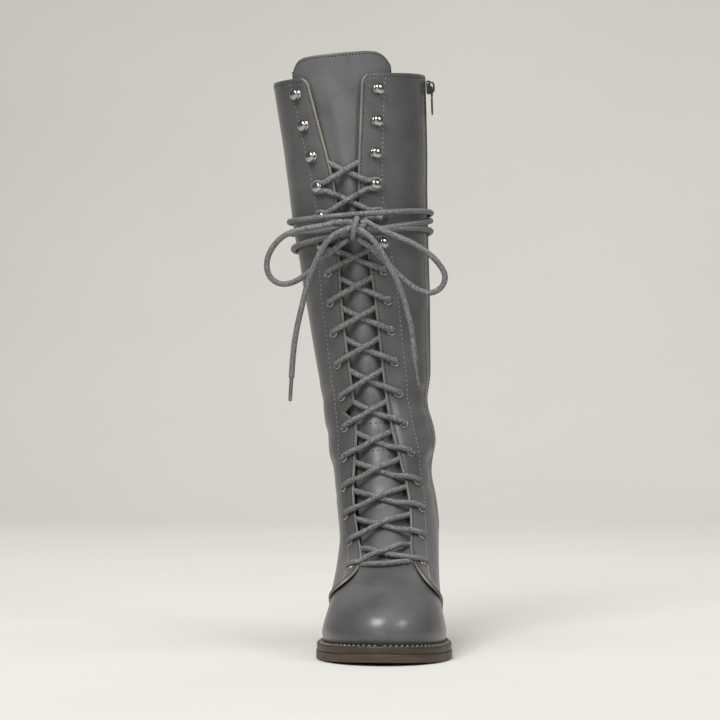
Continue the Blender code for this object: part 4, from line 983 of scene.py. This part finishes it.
def make_lacing(looks):
    """Strands over one facing, across the tongue and under the other, then round the hooks."""
    build = Mesher()
    last = ROWS_OF_HARDWARE - 1
    row, angle = PLACES[last]
    row += BAR_RISE
    edge = edge_angle(row, False)
    bar = [(angle, UNDER_FACING), (edge, -0.6), (0.6 * edge, LACE_RADIUS * 0.8), (0.0, LACE_RADIUS * 0.9)]
    bar_route = [skin(turn, row, out) for turn, out in bar]
    bar_route += [skin(-turn, row, out) for turn, out in reversed(bar[:-1])]
    lay_tube(build, bar_route, STRAND_POINTS)
    for side in (1, -1):
        for number in range(last, ROWS_OF_HOOKS, -1):
            start, end = PLACES[number], PLACES[number - 1]
            hole = [skin(side * start[1], start[0], out) for out in (-1.9, QUARTER_STEP + 1.0)]
            under = [skin(-side * end[1], end[0], UNDER_FACING)]
            lay_tube(build, hole + crossing(start, end, side, side < 0, True) + under, STRAND_POINTS)
        start = PLACES[ROWS_OF_HOOKS]
        route = [skin(side * start[1], start[0], out) for out in (-1.9, QUARTER_STEP + 1.0)]
        here = side
        for number in range(ROWS_OF_HOOKS - 1, ROWS_OF_HARDWARE - LACED_ROWS - 1, -1):
            from_place = PLACES[number + 1]
            route += crossing(from_place, PLACES[number], here, here < 0, False)
            here = -here
            route += round_hook(number, here)
        end_row, end_angle = PLACES[ROWS_OF_HARDWARE - LACED_ROWS - 1]
        route += crossing(PLACES[ROWS_OF_HARDWARE - LACED_ROWS], (end_row, end_angle), here, here < 0, True)
        lay_tube(build, route, 5 * STRAND_POINTS)
    dress("lace_lacing", build, looks["lace"], "lace", "lace_crossings")


def make_wraps(looks):
    turns = np.linspace(WRAP_TURNS[0], WRAP_TURNS[-1], WRAP_POINTS)
    angles = 2 * math.pi * turns
    from_front = (np.degrees(angles) + 180) % 360 - 180
    front = np.exp(-((from_front / WRAP_FRONT_ANGLE) ** 4))
    heights = spline_weights(WRAP_TURNS, turns) @ np.array(WRAP_HEIGHTS)
    rows = np.array([row_at_height(height) for height in heights])
    lift = QUARTER_STEP + LACE_RADIUS + WRAP_LIFT + (WRAP_CLEARANCE - WRAP_LIFT + WRAP_FRONT_LIFT) * front
    lift = lift + 2 * LACE_RADIUS * bell(turns - WRAP_CROSSING, WRAP_CROSSING_SPAN)
    build = Mesher()
    build.tube(skin(angles, rows, lift), normals(angles, rows), LACE_RADIUS, LACE_RADIUS, LACE_SIDES)
    dress("lace_turns", build, looks["lace"], "lace", "lace_wraps")


# Knot: strands through and round it, from its middle
KNOT_STRANDS = (
    (
        (-9.0, 0.5, 3.0), (-5.5, -1.8, 4.2), (-1.5, -3.0, 3.8),
        (2.5, -1.5, 1.6), (6.0, 0.2, 1.2), (9.5, 0.8, 2.2),
    ),
    ((-8.5, 1.2, -6.5), (-4.5, 0.6, -4.0), (0.0, 0.4, -2.2), (4.0, 0.6, -3.6), (8.0, 1.2, -6.2)),
    ((-7.5, -4.4, -3.4), (-4.0, -4.0, -1.2), (-0.6, -3.0, 0.4), (3.0, -3.4, -1.0), (7.2, -4.4, -4.2)),
)
KNOT_BAND_MIDDLE, KNOT_BAND_SIZE, KNOT_BAND_TILT = (1.4, -0.4, -0.4), (4.6, 7.4), 12.0
KNOT_BAND_WIDE, KNOT_BAND_FLAT = 1.05, 0.9


def make_knot(looks, middle):
    build = Mesher()
    for strand in KNOT_STRANDS:
        line = smooth_route(strand, 26) + middle
        build.tube(line, (0.0, -1.0, 0.2), LACE_RADIUS, LACE_RADIUS, LACE_SIDES)
    turn = np.linspace(0, 2 * math.pi, 41)
    tilt = math.radians(KNOT_BAND_TILT)
    depth, height = KNOT_BAND_SIZE
    up = height * np.cos(turn)
    band = np.stack([up * math.sin(tilt), -depth * np.sin(turn), up * math.cos(tilt)], axis=-1)
    outward = band / np.linalg.norm(band, axis=1, keepdims=True)
    band = band + np.array(KNOT_BAND_MIDDLE) + middle
    build.tube(band, outward, KNOT_BAND_WIDE * LACE_RADIUS, KNOT_BAND_FLAT * LACE_RADIUS, LACE_SIDES)
    dress("lace_bow_knot", build, looks["lace"], "lace", "lace_knot")


def knot_exit(direction, side):
    """Points just outside the knot, and further out, where its surface faces a direction."""
    direction = np.array(direction) * (side, 1, 1) / np.linalg.norm(direction)
    size = np.array(KNOT_SIZE)
    touch = size**2 * direction / np.linalg.norm(size * direction)
    return [touch + direction * GAP, touch + direction * KNOT_STUB]


def free_tube(name, line, look, node):
    build = Mesher()
    build.tube(line, HANGING_UP, LACE_RADIUS, LACE_RADIUS, LACE_SIDES)
    return dress(name, build, look, "lace", node)


def make_bow(looks):
    """Knot, two loops and two hanging ends with tips, on the listed routes of the solid model."""
    wraps = QUARTER_STEP + WRAP_CLEARANCE + 2 * LACE_RADIUS + WRAP_FRONT_LIFT
    lift = wraps + GAP + KNOT_SIZE[1] - KNOT_SINK
    middle = skin(math.radians(KNOT_ANGLE), row_at_height(KNOT_HEIGHT), lift)
    make_knot(looks, middle)
    for name, side, loop, end in (("left", -1, LOOP_LEFT, END_LEFT), ("right", 1, LOOP_RIGHT, END_RIGHT)):
        leaves, leaves_stub = knot_exit(LOOP_EXIT, side)
        returns, returns_stub = knot_exit(LOOP_RETURN, side)
        bend = smooth_route([leaves_stub, *loop, returns_stub], LOOP_POINTS)
        line = np.vstack([leaves, bend, returns]) + middle
        cord = free_tube(f"bow_loop_{name}", line, looks["lace"], f"lace_loop_{name}")
        hangs, hangs_stub = knot_exit(END_EXIT, side)
        line = np.vstack([hangs, smooth_route([hangs_stub, *end], END_POINTS)]) + middle
        cord = free_tube(f"bow_end_{name}", line, looks["lace"], f"lace_end_{name}")
        along = (line[-1] - line[-2]) / np.linalg.norm(line[-1] - line[-2])
        build = Mesher()
        shares, swells = np.array(AGLET_PROFILE).T
        start = line[-1] - along * AGLET_OVERLAP
        tip = start + np.outer(shares, along) * AGLET_LENGTH
        build.tube(tip, HANGING_UP, AGLET_RADIUS * swells, AGLET_RADIUS * swells)
        aglet = dress(f"tip_{name}", build, looks["tip"], "nickel", f"aglet_{name}")


def zip_place(row, across, out):
    """Point beside the zip's middle line, in millimetres across it."""
    row, angle = beside((row, math.radians(ZIP_ANGLE)), across, 0.0)
    return skin(angle, row, out)


def plate(outline, thickness, rounding):
    """Flat plate with an outline in millimetres, rounded at its rims and centred on its thickness."""
    outline = np.array(outline, float)
    middle = outline.mean(axis=0)
    reach = np.linalg.norm(outline - middle, axis=1, keepdims=True)
    build = Mesher()
    rings = []
    for inset, height in PLATE_PROFILE:
        flat = middle + (outline - middle) * (1 - inset * rounding / reach)
        rings.append(build.add(np.column_stack([flat, np.full(len(flat), height * thickness)])))
    for low, high in zip(rings[:-1], rings[1:]):
        build.ring(low, high)
    build.face(rings[0][::-1])
    build.face(rings[-1])
    return build


def make_zip(looks):
    rows = np.linspace(ZIP_FOOT, ZIP_HEAD, 150)
    floor = QUARTER_STEP - ZIP_RECESS + TAPE_SEAT
    build = Mesher()
    top = build.add(np.array([[zip_place(row, x, floor + TAPE_TOP) for x in TAPE_ACROSS] for row in rows]))
    low = build.add(np.array([[zip_place(row, x, floor - TAPE_BACK) for x in TAPE_ACROSS] for row in rows]))
    build.fill(top)
    build.fill(low)
    build.hem(top, low)
    dress("zip_cloth", build, looks["tape"], "tape", "zip_tape")
    line = np.array([zip_place(row, 0.0, 0.0) for row in rows])
    run = run_length(line)
    count = int(run[-1] / TOOTH_PITCH * 2)
    teeth = Mesher()
    for k, row in enumerate(np.interp(np.linspace(0, run[-1], count), run, rows)):
        side = 1 if k % 2 else -1
        place = standing(math.radians(ZIP_ANGLE), row, floor + TOOTH_LIFT)
        wide, long, tall = (size / 2 for size in TOOTH_SIZE)
        shift = side * TOOTH_SHIFT
        corners = []
        for height, shrink in ((-tall, 1.0), (0.35 * tall, 1.0), (tall, 0.7)):
            for x, y in ((-1, -1), (1, -1), (1, 1), (-1, 1)):
                corner = place @ (Vector((shift + x * wide * shrink, y * long * shrink, height)) * MM)
                corners.append(np.array(corner) / MM)
        teeth.closed(teeth.add(np.array(corners).reshape(3, 4, 3)))
    dress("zip_teeth", teeth, looks["zip_metal"], "nickel")


def make_slider(looks):
    angle = math.radians(ZIP_ANGLE)
    row = row_at_height(SLIDER_HEIGHT, angle)
    under = QUARTER_STEP + 3 * GAP + ZIP_THICKNESS
    wide, long, thick = SLIDER_SIZE
    turn = np.linspace(0, 2 * math.pi, 41)[:-1]
    lobe = np.sign(np.cos(turn)) * np.abs(np.cos(turn)) ** 0.6
    rise = np.sign(np.sin(turn)) * np.abs(np.sin(turn)) ** 0.6
    narrowing = 1 - 0.12 * (1 - rise)
    outline = np.column_stack([lobe * wide / 2 * narrowing, rise * long / 2])
    seat = standing(angle, row, under + thick / 2)
    metal = looks["zip_metal"]
    runner = plate(outline, thick, RUNNER_ROUND)
    dress("zip_runner", runner, metal, "nickel", "zip_slider", place=seat, sharp=PLATE_SHARP)
    top = thick / 2 + 2 * BAIL_CLEAR + BAIL_RADIUS
    leg = [(0, BAIL_HALF_SPAN - 1.0, top - 0.2), (0, BAIL_HALF_SPAN, top - 1.2), (0, BAIL_HALF_SPAN, 0.5)]
    staple = [(x, -y, z) for x, y, z in reversed(leg)] + [(0, 0, top)] + leg
    bail = Mesher()
    bail.tube(smooth_route(staple, 30), (1.0, 0.0, 0.0), BAIL_RADIUS, BAIL_RADIUS)
    dress("zip_bail", bail, metal, "nickel", place=seat)
    hinge = standing(angle, row, under + thick + BAIL_CLEAR)
    half = TAB_WIDTH / 2
    right = [(half - 1.2, 0.35), (half - 0.6, 0.0), (half - 0.55, -3.0), (half - 0.9, -6.4)]
    left = [(-x, y) for x, y in reversed(right)]
    ring = [*left[2:], (0.0, 0.4), *right, (0.0, -7.0), *left[:3]]
    frame_ring = Mesher()
    flat = np.column_stack([smooth_route(ring, 50), np.zeros(50)])
    frame_ring.tube(flat, (0.0, 0.0, 1.0), TAB_RING_HALF_WIDTH, TAB_THICKNESS / 2)
    dress("zip_tab_ring", frame_ring, metal, "nickel", body=PULL_BODY, place=hinge)
    tab_long = TAB_LENGTH - TAB_RING_LENGTH
    outline = np.column_stack([lobe * (half - 0.7), rise * tab_long / 2 - TAB_RING_LENGTH - tab_long / 2])
    blade = plate(outline, TAB_THICKNESS, BLADE_ROUND)
    dress(
        "zip_tab_blade", blade, metal, "nickel", "zip_pull_tab",
        body=PULL_BODY, place=hinge, sharp=PLATE_SHARP,
    )


def sew(build, line, ups, length=STITCH_LENGTH, gap=STITCH_GAP, radius=STITCH_RADIUS):
    """Row of small slanted stitches along a line on a surface."""
    run = run_length(line)
    count = max(1, int(run[-1] / (length + gap)))
    middles = (np.arange(count) + 0.5) * run[-1] / count

    def at(values, place):
        return np.stack([np.interp(place, run, values[:, k]) for k in range(3)], axis=-1)

    up = at(ups, middles)
    along = at(line, middles + STITCH_NUDGE) - at(line, middles - STITCH_NUDGE)
    along /= np.linalg.norm(along, axis=1, keepdims=True)
    across = np.cross(up, along)
    along = along + STITCH_SLANT * across
    along /= np.linalg.norm(along, axis=1, keepdims=True)
    across = np.cross(up, along)
    across /= np.linalg.norm(across, axis=1, keepdims=True)
    middle = at(line, middles)
    turn = np.linspace(0, 2 * math.pi, STITCH_SIDES, endpoint=False)
    for k in range(count):
        grid = []
        for share, swell in STITCH_PROFILE:
            sink = -STITCH_DIP * radius * (2 * abs(share)) ** 3
            spot = middle[k] + along[k] * share * length + up[k] * sink
            circle = np.outer(np.cos(turn), across[k]) + np.outer(np.sin(turn), up[k])
            grid.append(spot + circle * radius * swell)
        build.closed(build.add(np.array(grid)))


def sew_on_skin(build, angle, row, out, **thread):
    angle, row = np.asarray(angle, float), np.asarray(row, float)
    sew(build, skin(angle, row, out), normals(angle, row), **thread)


def worn_under(angle, row):
    """Rise and fall of the worn leather under a seam."""
    angle = np.asarray(angle, float)
    return worn_level(base_skin(angle, np.asarray(row, float)), angle)


def sew_front(build, facing, lateral):
    """Seams of one side: along the front edge, along the facing, round the derby tip and below the collar."""
    rows = np.linspace(SEAM_FOOT, COLLAR_SEAM - 0.08, 400)
    angles = np.array([inside_edge(row, SEAM_INSET, lateral, notched=False) for row in rows])
    heights = base_skin(np.zeros(rows.shape), rows)[:, 2]
    clear = np.abs(heights - NOTCH_HEIGHT) > NOTCH_HALF_HEIGHT + 1
    low = heights < NOTCH_HEIGHT
    parts = (clear & low, clear & ~low) if lateral else (np.full(rows.shape, True),)
    for part in parts:
        sew_on_skin(build, angles[part], rows[part], ON_QUARTER + tip_lift(rows[part], SEAM_INSET))
    rows = np.linspace(THROAT_BASE, COLLAR_SEAM, 300)
    angles = [inside_edge(row, FACING_SEAM_INSET, lateral, False) for row in rows]
    sew_on_skin(facing, angles, rows, ON_QUARTER + worn_under(angles, rows), **FACING_THREAD)
    rows = np.linspace(SEAM_FOOT, SECOND_SEAM_HEAD, 100)
    angles = [inside_edge(row, 2 * SEAM_INSET, lateral) for row in rows]
    sew_on_skin(build, angles, rows, ON_QUARTER + tip_lift(rows, 2 * SEAM_INSET))
    insets = 2 * SEAM_INSET, FACING_SEAM_INSET
    span = FACING_SEAM_FOOT, THROAT_BASE
    rows = np.linspace(*span, 60)
    angles = np.interp(rows, span, [inside_edge(row, inset, lateral) for row, inset in zip(span, insets)])
    inset = np.interp(rows, span, insets)
    out = ON_QUARTER + worn_under(angles, rows) * step_up(inset / EDGE_CALM) + tip_lift(rows, inset)
    sew_on_skin(facing, angles, rows, out, **FACING_THREAD)
    first = inside_edge(COLLAR_SEAM - 0.05, SEAM_INSET + 1.5, lateral)
    last = math.radians(ZIP_ANGLE) + (0.1 - 2 * math.pi if lateral else -0.1)
    sew_on_skin(build, np.linspace(first, last, 300), np.full(300, COLLAR_SEAM), ON_QUARTER)


def sew_pair(build, angle, rows, inset, out):
    """Two seams up the leg, one on each side of a line at an angle."""
    for across in (-inset, inset):
        angles = [beside((row, angle), across, 0.0)[1] for row in rows]
        sew_on_skin(build, angles, rows, out + worn_under(angles, rows))


def sew_tongue(build, angle, rows, out, rim):
    """Seams along the tongue's sides, below its top edge and along its band."""
    columns = np.arange(rows.shape[1])
    middle = len(columns) // 2
    pick = np.arange(len(rows))[20:-14]
    for direction in (1, -1):
        near = rim[:, ::direction][:, :20]
        inset = np.array([np.interp(TONGUE_SEAM_INSET, line, np.arange(20)) for line in near])
        places = inset[pick] if direction > 0 else columns[-1] - inset[pick]
        angles = [np.interp(place, columns, angle[k]) for k, place in zip(pick, places)]
        outs = [np.interp(place, columns, out[k]) for k, place in zip(pick, places)]
        sew_on_skin(build, angles, rows[pick, middle], outs)
    heads = []
    count = np.arange(len(rows))
    for column in columns[3:-3]:
        line = skin(angle[:, column], rows[:, column], out[:, column])
        down = np.linalg.norm(line - line[-1], axis=1)[::-1]
        place = count[-1] - np.interp(TONGUE_SEAM_INSET + HEAD_SEAM_DROP, down[:40], np.arange(40))
        heads.append([np.interp(place, count, grid[:, column]) for grid in (angle, rows, out)])
    sew_on_skin(build, *np.array(heads).T)
    for height in (TONGUE_BAND_LOW + BAND_SEAM_INSET, TONGUE_BAND_HIGH - BAND_SEAM_INSET):
        k = int(np.argmin(np.abs(rows[:, middle] - row_at_height(height))))
        sew_on_skin(build, angle[k, 6:-6], rows[k, 6:-6], out[k, 6:-6], **BAND_THREAD)


def make_stitches(looks, tongue_grid):
    build = Mesher()
    facing = Mesher()
    for lateral in (False, True):
        sew_front(build, facing, lateral)
    rows = np.linspace(ZIP_FOOT + 0.1, COLLAR - 0.02, 260)
    sew_pair(build, math.radians(ZIP_ANGLE), rows, ZIP_SEAM_INSET, ON_QUARTER)
    rows = np.linspace(SEAM_FOOT, COLLAR_SEAM, 300)
    sew_pair(build, math.pi, rows, BACK_SEAM_INSET, QUARTER_STEP - BACK_STITCH_SINK)
    sew_tongue(build, *tongue_grid)
    dress("seam_stitches", build, looks["thread"], "leather", weld=False)
    dress("facing_stitches", facing, looks["facing_thread"], "leather", weld=False)
    welt = Mesher()
    for side in (1, -1):
        line = sole_line(
            np.linspace(0.02, math.pi - 0.02, 400), sole_margins(WELT_SETBACK + WELT_STITCH_INSET),
            raised(welt_underside, WELT_THICKNESS + WELT_STITCH_LIFT), side,
        )
        sew(welt, line, np.tile([0.0, 0.0, 1.0], (len(line), 1)), **WELT_THREAD)
    dress("welt_stitches", welt, looks["welt_thread"], "welt", weld=False)


class Look:
    """Node tree of one procedural material."""

    def __init__(self, name):
        self.material = bpy.data.materials.new(name)
        self.material.use_nodes = True
        self.tree = self.material.node_tree
        self.shader = self.tree.nodes["Principled BSDF"]
        self.coords = self.node("ShaderNodeTexCoord")

    def node(self, kind, **sockets):
        node = self.tree.nodes.new(kind)
        for name, value in sockets.items():
            node.inputs[name.replace("_", " ").title()].default_value = value
        return node

    def link(self, start, end):
        self.tree.links.new(start, end)

    def noise(self, scale, detail=4.0, roughness=0.55, stretch=None):
        node = self.node("ShaderNodeTexNoise", scale=scale, detail=detail, roughness=roughness)
        vector = self.coords.outputs["Object"]
        if stretch:
            mapping = self.node("ShaderNodeMapping")
            mapping.inputs["Scale"].default_value = stretch
            self.link(vector, mapping.inputs["Vector"])
            vector = mapping.outputs["Vector"]
        self.link(vector, node.inputs["Vector"])
        return node.outputs["Fac"]

    def ramp(self, factor, stops):
        node = self.node("ShaderNodeValToRGB")
        band = node.color_ramp.elements
        while len(band) < len(stops):
            band.new(0.5)
        for element, (place, colour) in zip(band, stops):
            element.position = place
            element.color = (*colour, 1)
        self.link(factor, node.inputs["Fac"])
        return node.outputs["Color"]

    def colour(self, factor, stops):
        self.link(self.ramp(factor, stops), self.shader.inputs["Base Color"])

    def roughness(self, factor, low, high):
        node = self.node("ShaderNodeMapRange", to_min=low, to_max=high)
        node.inputs["From Min"].default_value = 0.3
        node.inputs["From Max"].default_value = 0.7
        self.link(factor, node.inputs["Value"])
        self.link(node.outputs["Result"], self.shader.inputs["Roughness"])

    def bump(self, height, strength, distance, under=None):
        node = self.node("ShaderNodeBump", strength=strength, distance=distance)
        self.link(height, node.inputs["Height"])
        if under:
            self.link(under, node.inputs["Normal"])
        self.link(node.outputs["Normal"], self.shader.inputs["Normal"])
        return node.outputs["Normal"]

    def cells(self, scale):
        node = self.node("ShaderNodeTexVoronoi", scale=scale)
        self.link(self.coords.outputs["Object"], node.inputs["Vector"])
        return node.outputs["Distance"]

    def waves(self, scale, turn):
        mapping = self.node("ShaderNodeMapping")
        mapping.inputs["Rotation"].default_value = (0, 0, turn)
        self.link(self.coords.outputs["UV"], mapping.inputs["Vector"])
        node = self.node("ShaderNodeTexWave", scale=scale)
        self.link(mapping.outputs["Vector"], node.inputs["Vector"])
        return node.outputs["Fac"]

    def metal(self, amount):
        self.shader.inputs["Metallic"].default_value = amount

    def coat(self, amount, roughness):
        self.shader.inputs["Coat Weight"].default_value = amount
        self.shader.inputs["Coat Roughness"].default_value = roughness


LEATHER_COAT_ROUGHNESS = 0.26


def leather_look(name, dark, middle, light, low, high, coat):
    look = Look(name)
    look.colour(look.noise(26.0, 6.0, 0.6), ((0.32, dark), (0.5, middle), (0.7, light)))
    look.roughness(look.noise(40.0), low, high)
    grain = look.bump(look.cells(1300.0), 0.55, 0.0002)
    fine = look.bump(look.noise(420.0, 5.0), 0.5, 0.0003, grain)
    look.bump(look.noise(55.0, 3.0), 0.25, 0.0012, fine)
    look.coat(coat, LEATHER_COAT_ROUGHNESS)
    return look.material


def streaked_look(name, dark, light, low, high, stretch):
    look = Look(name)
    streaks = look.noise(60.0, 6.0, 0.6, stretch)
    look.colour(streaks, ((0.3, dark), (0.7, light)))
    look.roughness(look.noise(30.0), low, high)
    look.bump(streaks, 0.3, 0.0005)
    return look.material


def metal_look(name, dark, light, low, high):
    look = Look(name)
    look.colour(look.noise(160.0), ((0.35, dark), (0.65, light)))
    look.roughness(look.noise(300.0), low, high)
    look.bump(look.noise(700.0), 0.08, 0.0002)
    look.metal(1.0)
    return look.material


def lace_look(name, dark, light):
    look = Look(name)
    look.colour(look.noise(900.0, 3.0, 0.7), ((0.36, dark), (0.64, light)))
    look.roughness(look.noise(200.0), 0.55, 0.75)
    first = look.bump(look.waves(2.4, math.radians(40)), 0.3, 0.0004)
    look.bump(look.waves(2.4, math.radians(-40)), 0.3, 0.0004, first)
    return look.material


EVEN, FINE = (1.0, 1.0, 1.0), (8.0, 8.0, 8.0)
# Leathers: dark, middle and light colour, least and most roughness, coat
LEATHERS = {
    "leather": (
        "grey_leather", (0.056, 0.0565, 0.0575), (0.076, 0.0765, 0.078), (0.096, 0.0965, 0.098),
        0.5, 0.62, 0.7,
    ),
    # Tongue: the grey leather made lighter, as painted light for the brighter front light that falls on the
    # tongue
    "tongue": (
        "tongue_leather", (0.082, 0.0825, 0.084), (0.108, 0.1085, 0.11), (0.134, 0.1345, 0.136),
        0.36, 0.46, 0.1,
    ),
    "lining": (
        "lining_leather", (0.16, 0.14, 0.115), (0.2, 0.175, 0.145), (0.24, 0.21, 0.175),
        0.6, 0.75, 0.0,
    ),
    "raw_edge": (
        "raw_edge", (0.1, 0.083, 0.064), (0.19, 0.16, 0.127), (0.27, 0.23, 0.185),
        0.7, 0.85, 0.0,
    ),
}
# Streaked surfaces: dark and light colour, least and most roughness, stretch of the streaks
STREAKED = {
    "welt": ("welt_leather", (0.03, 0.022, 0.016), (0.062, 0.047, 0.035), 0.4, 0.55, (1.0, 1.0, 6.0)),
    "outsole": ("outsole_leather", (0.046, 0.029, 0.018), (0.088, 0.058, 0.038), 0.42, 0.6, (0.6, 0.6, 9.0)),
    "rubber": ("heel_rubber", (0.016, 0.015, 0.014), (0.028, 0.026, 0.025), 0.6, 0.8, EVEN),
    "insole": ("insole_leather", (0.26, 0.195, 0.125), (0.35, 0.27, 0.18), 0.6, 0.75, EVEN),
    "tape": ("zip_tape", (0.014, 0.014, 0.014), (0.03, 0.029, 0.028), 0.8, 0.95, (4.0, 4.0, 1.0)),
    "thread": ("thread", (0.012, 0.011, 0.01), (0.03, 0.028, 0.026), 0.55, 0.7, FINE),
    "facing_thread": ("facing_thread", (0.2, 0.199, 0.195), (0.38, 0.376, 0.366), 0.6, 0.75, FINE),
    "welt_thread": ("welt_thread", (0.08, 0.068, 0.056), (0.3, 0.265, 0.22), 0.6, 0.75, FINE),
}
# Metals: dark and light colour, least and most roughness
METALS = {
    "nickel": ("nickel", (0.4, 0.385, 0.36), (0.55, 0.53, 0.5), 0.14, 0.24),
    "eyelet": ("eyelet_nickel", (0.3, 0.29, 0.275), (0.45, 0.434, 0.41), 0.22, 0.32),
    "zip_metal": ("zip_metal", (0.07, 0.067, 0.063), (0.13, 0.124, 0.117), 0.28, 0.4),
    "tip": ("lace_tip", (0.2, 0.198, 0.194), (0.29, 0.286, 0.28), 0.4, 0.5),
}
LACE_DARK, LACE_LIGHT = (0.042, 0.0424, 0.043), (0.24, 0.24, 0.238)


def make_looks():
    looks = {"lace": lace_look("waxed_lace", LACE_DARK, LACE_LIGHT)}
    for kind, table in ((leather_look, LEATHERS), (streaked_look, STREAKED), (metal_look, METALS)):
        for name, values in table.items():
            looks[name] = kind(*values)
    return looks


# Studio: pale seamless floor that curves up behind the boot, and soft lights: place, size, watts, the point
# they face, and whether glossy surfaces mirror them
STAGE_WIDTH, STAGE_FRONT, STAGE_CURVE_START, STAGE_CURVE, STAGE_TOP = 4.0, -3.2, 1.6, 0.9, 3.0
LIGHTS = {
    "key": ((-0.42, -1.4, 1.55), 0.72, 26.0, (0.0, -0.08, 0.05), True),
    "second": ((1.33, -1.13, 1.24), 0.58, 9.0, (0.0, -0.08, 0.05), True),
    "front": ((-0.3, -2.7, 0.5), 1.0, 3.5, (0.0, -0.08, 0.25), True),
    "overhead": ((-0.12, -0.62, 1.9), 1.1, 16.0, (0.0, -0.12, 0.0), False),
    "back": ((-0.1, 1.6, 1.65), 1.5, 8.0, (0.0, -0.08, 0.05), False),
    "wall": ((0.0, 0.4, 2.3), 1.8, 46.0, (0.0, 2.5, 0.8), False),
}
WORLD_COLOUR, WORLD_STRENGTH = (0.97, 0.98, 1.0, 1), 0.14
STAGE_DARK, STAGE_LIGHT = (0.56, 0.541, 0.506), (0.58, 0.56, 0.524)


def make_stage():
    turn = np.linspace(0, math.pi / 2, 24)
    profile = [(STAGE_FRONT, 0.0), (0.0, 0.0)]
    for t in turn:
        profile.append((STAGE_CURVE_START + STAGE_CURVE * math.sin(t), STAGE_CURVE * (1 - math.cos(t))))
    profile += [(STAGE_CURVE_START + STAGE_CURVE, STAGE_TOP)]
    build = Mesher()
    grid = np.array([[(x, y, z) for x in (-STAGE_WIDTH, STAGE_WIDTH)] for y, z in profile]) / MM
    build.fill(build.add(grid))
    look = Look("studio_floor")
    look.colour(look.noise(3.0), ((0.3, STAGE_DARK), (0.7, STAGE_LIGHT)))
    look.roughness(look.noise(8.0), 0.75, 0.9)
    look.bump(look.noise(300.0), 0.05, 0.0003)
    mesh = build.mesh("studio_floor", [look.material])
    floor = bpy.data.objects.new("studio_floor", mesh)
    bpy.context.scene.collection.objects.link(floor)


def make_lights():
    for name, (place, size, watts, aim, mirrored) in LIGHTS.items():
        data = bpy.data.lights.new(name, "AREA")
        data.size = size
        data.energy = watts
        lamp = bpy.data.objects.new(name, data)
        lamp.location = place
        lamp.rotation_euler = (Vector(aim) - Vector(place)).to_track_quat("-Z", "Y").to_euler()
        lamp.visible_glossy = mirrored
        bpy.context.scene.collection.objects.link(lamp)
    world = bpy.data.worlds.new("studio")
    world.use_nodes = True
    background = world.node_tree.nodes["Background"]
    background.inputs["Color"].default_value = WORLD_COLOUR
    background.inputs["Strength"].default_value = WORLD_STRENGTH
    bpy.context.scene.world = world
    bpy.context.scene.view_settings.view_transform = "Standard"


def make_camera():
    """The photograph's camera, turned so that the one boot stands in the middle of the frame."""
    half = FRAME_PIXELS / 2
    azimuth = math.radians(CAMERA_AZIMUTH)
    right = Vector((math.cos(azimuth), math.sin(azimuth), 0))
    ahead = Vector((-math.sin(azimuth), math.cos(azimuth), 0))
    aside = (half - ORIGIN_COLUMN) / FOCAL_PIXELS * CAMERA_DISTANCE
    data = bpy.data.cameras.new("camera")
    data.sensor_width = SENSOR_WIDTH
    data.lens = FOCAL_PIXELS / FRAME_PIXELS * SENSOR_WIDTH
    camera = bpy.data.objects.new("camera", data)
    bpy.context.scene.collection.objects.link(camera)
    camera.location = -ahead * CAMERA_DISTANCE + right * aside + Vector((0, 0, CAMERA_HEIGHT))
    tilt = math.atan((half - HORIZON_ROW) / FOCAL_PIXELS)
    yaw = math.atan((half - BOOT_MIDDLE_COLUMN) / FOCAL_PIXELS)
    camera.rotation_euler = (math.pi / 2 - tilt, 0, azimuth + yaw)
    bpy.context.scene.camera = camera


make_camera()
looks = make_looks()
make_bow(looks)
make_lacing(looks)
make_wraps(looks)
upper_looks = [looks["leather"], looks["lining"], looks["raw_edge"]]
show("upper_quarters", punch_holes(make_quarters(upper_looks), upper_looks), "leather", "upper")
show("upper_vamp", make_vamp(upper_looks), "leather")
tongue_mesh, *tongue_grid = make_tongue([looks["tongue"], looks["lining"]])
show("tongue_leather", tongue_mesh, "leather", "tongue")
make_sole(looks)
make_welt(looks)
make_fittings(looks)
make_zip(looks)
make_slider(looks)
make_stitches(looks, tongue_grid)
make_stage()
make_lights()
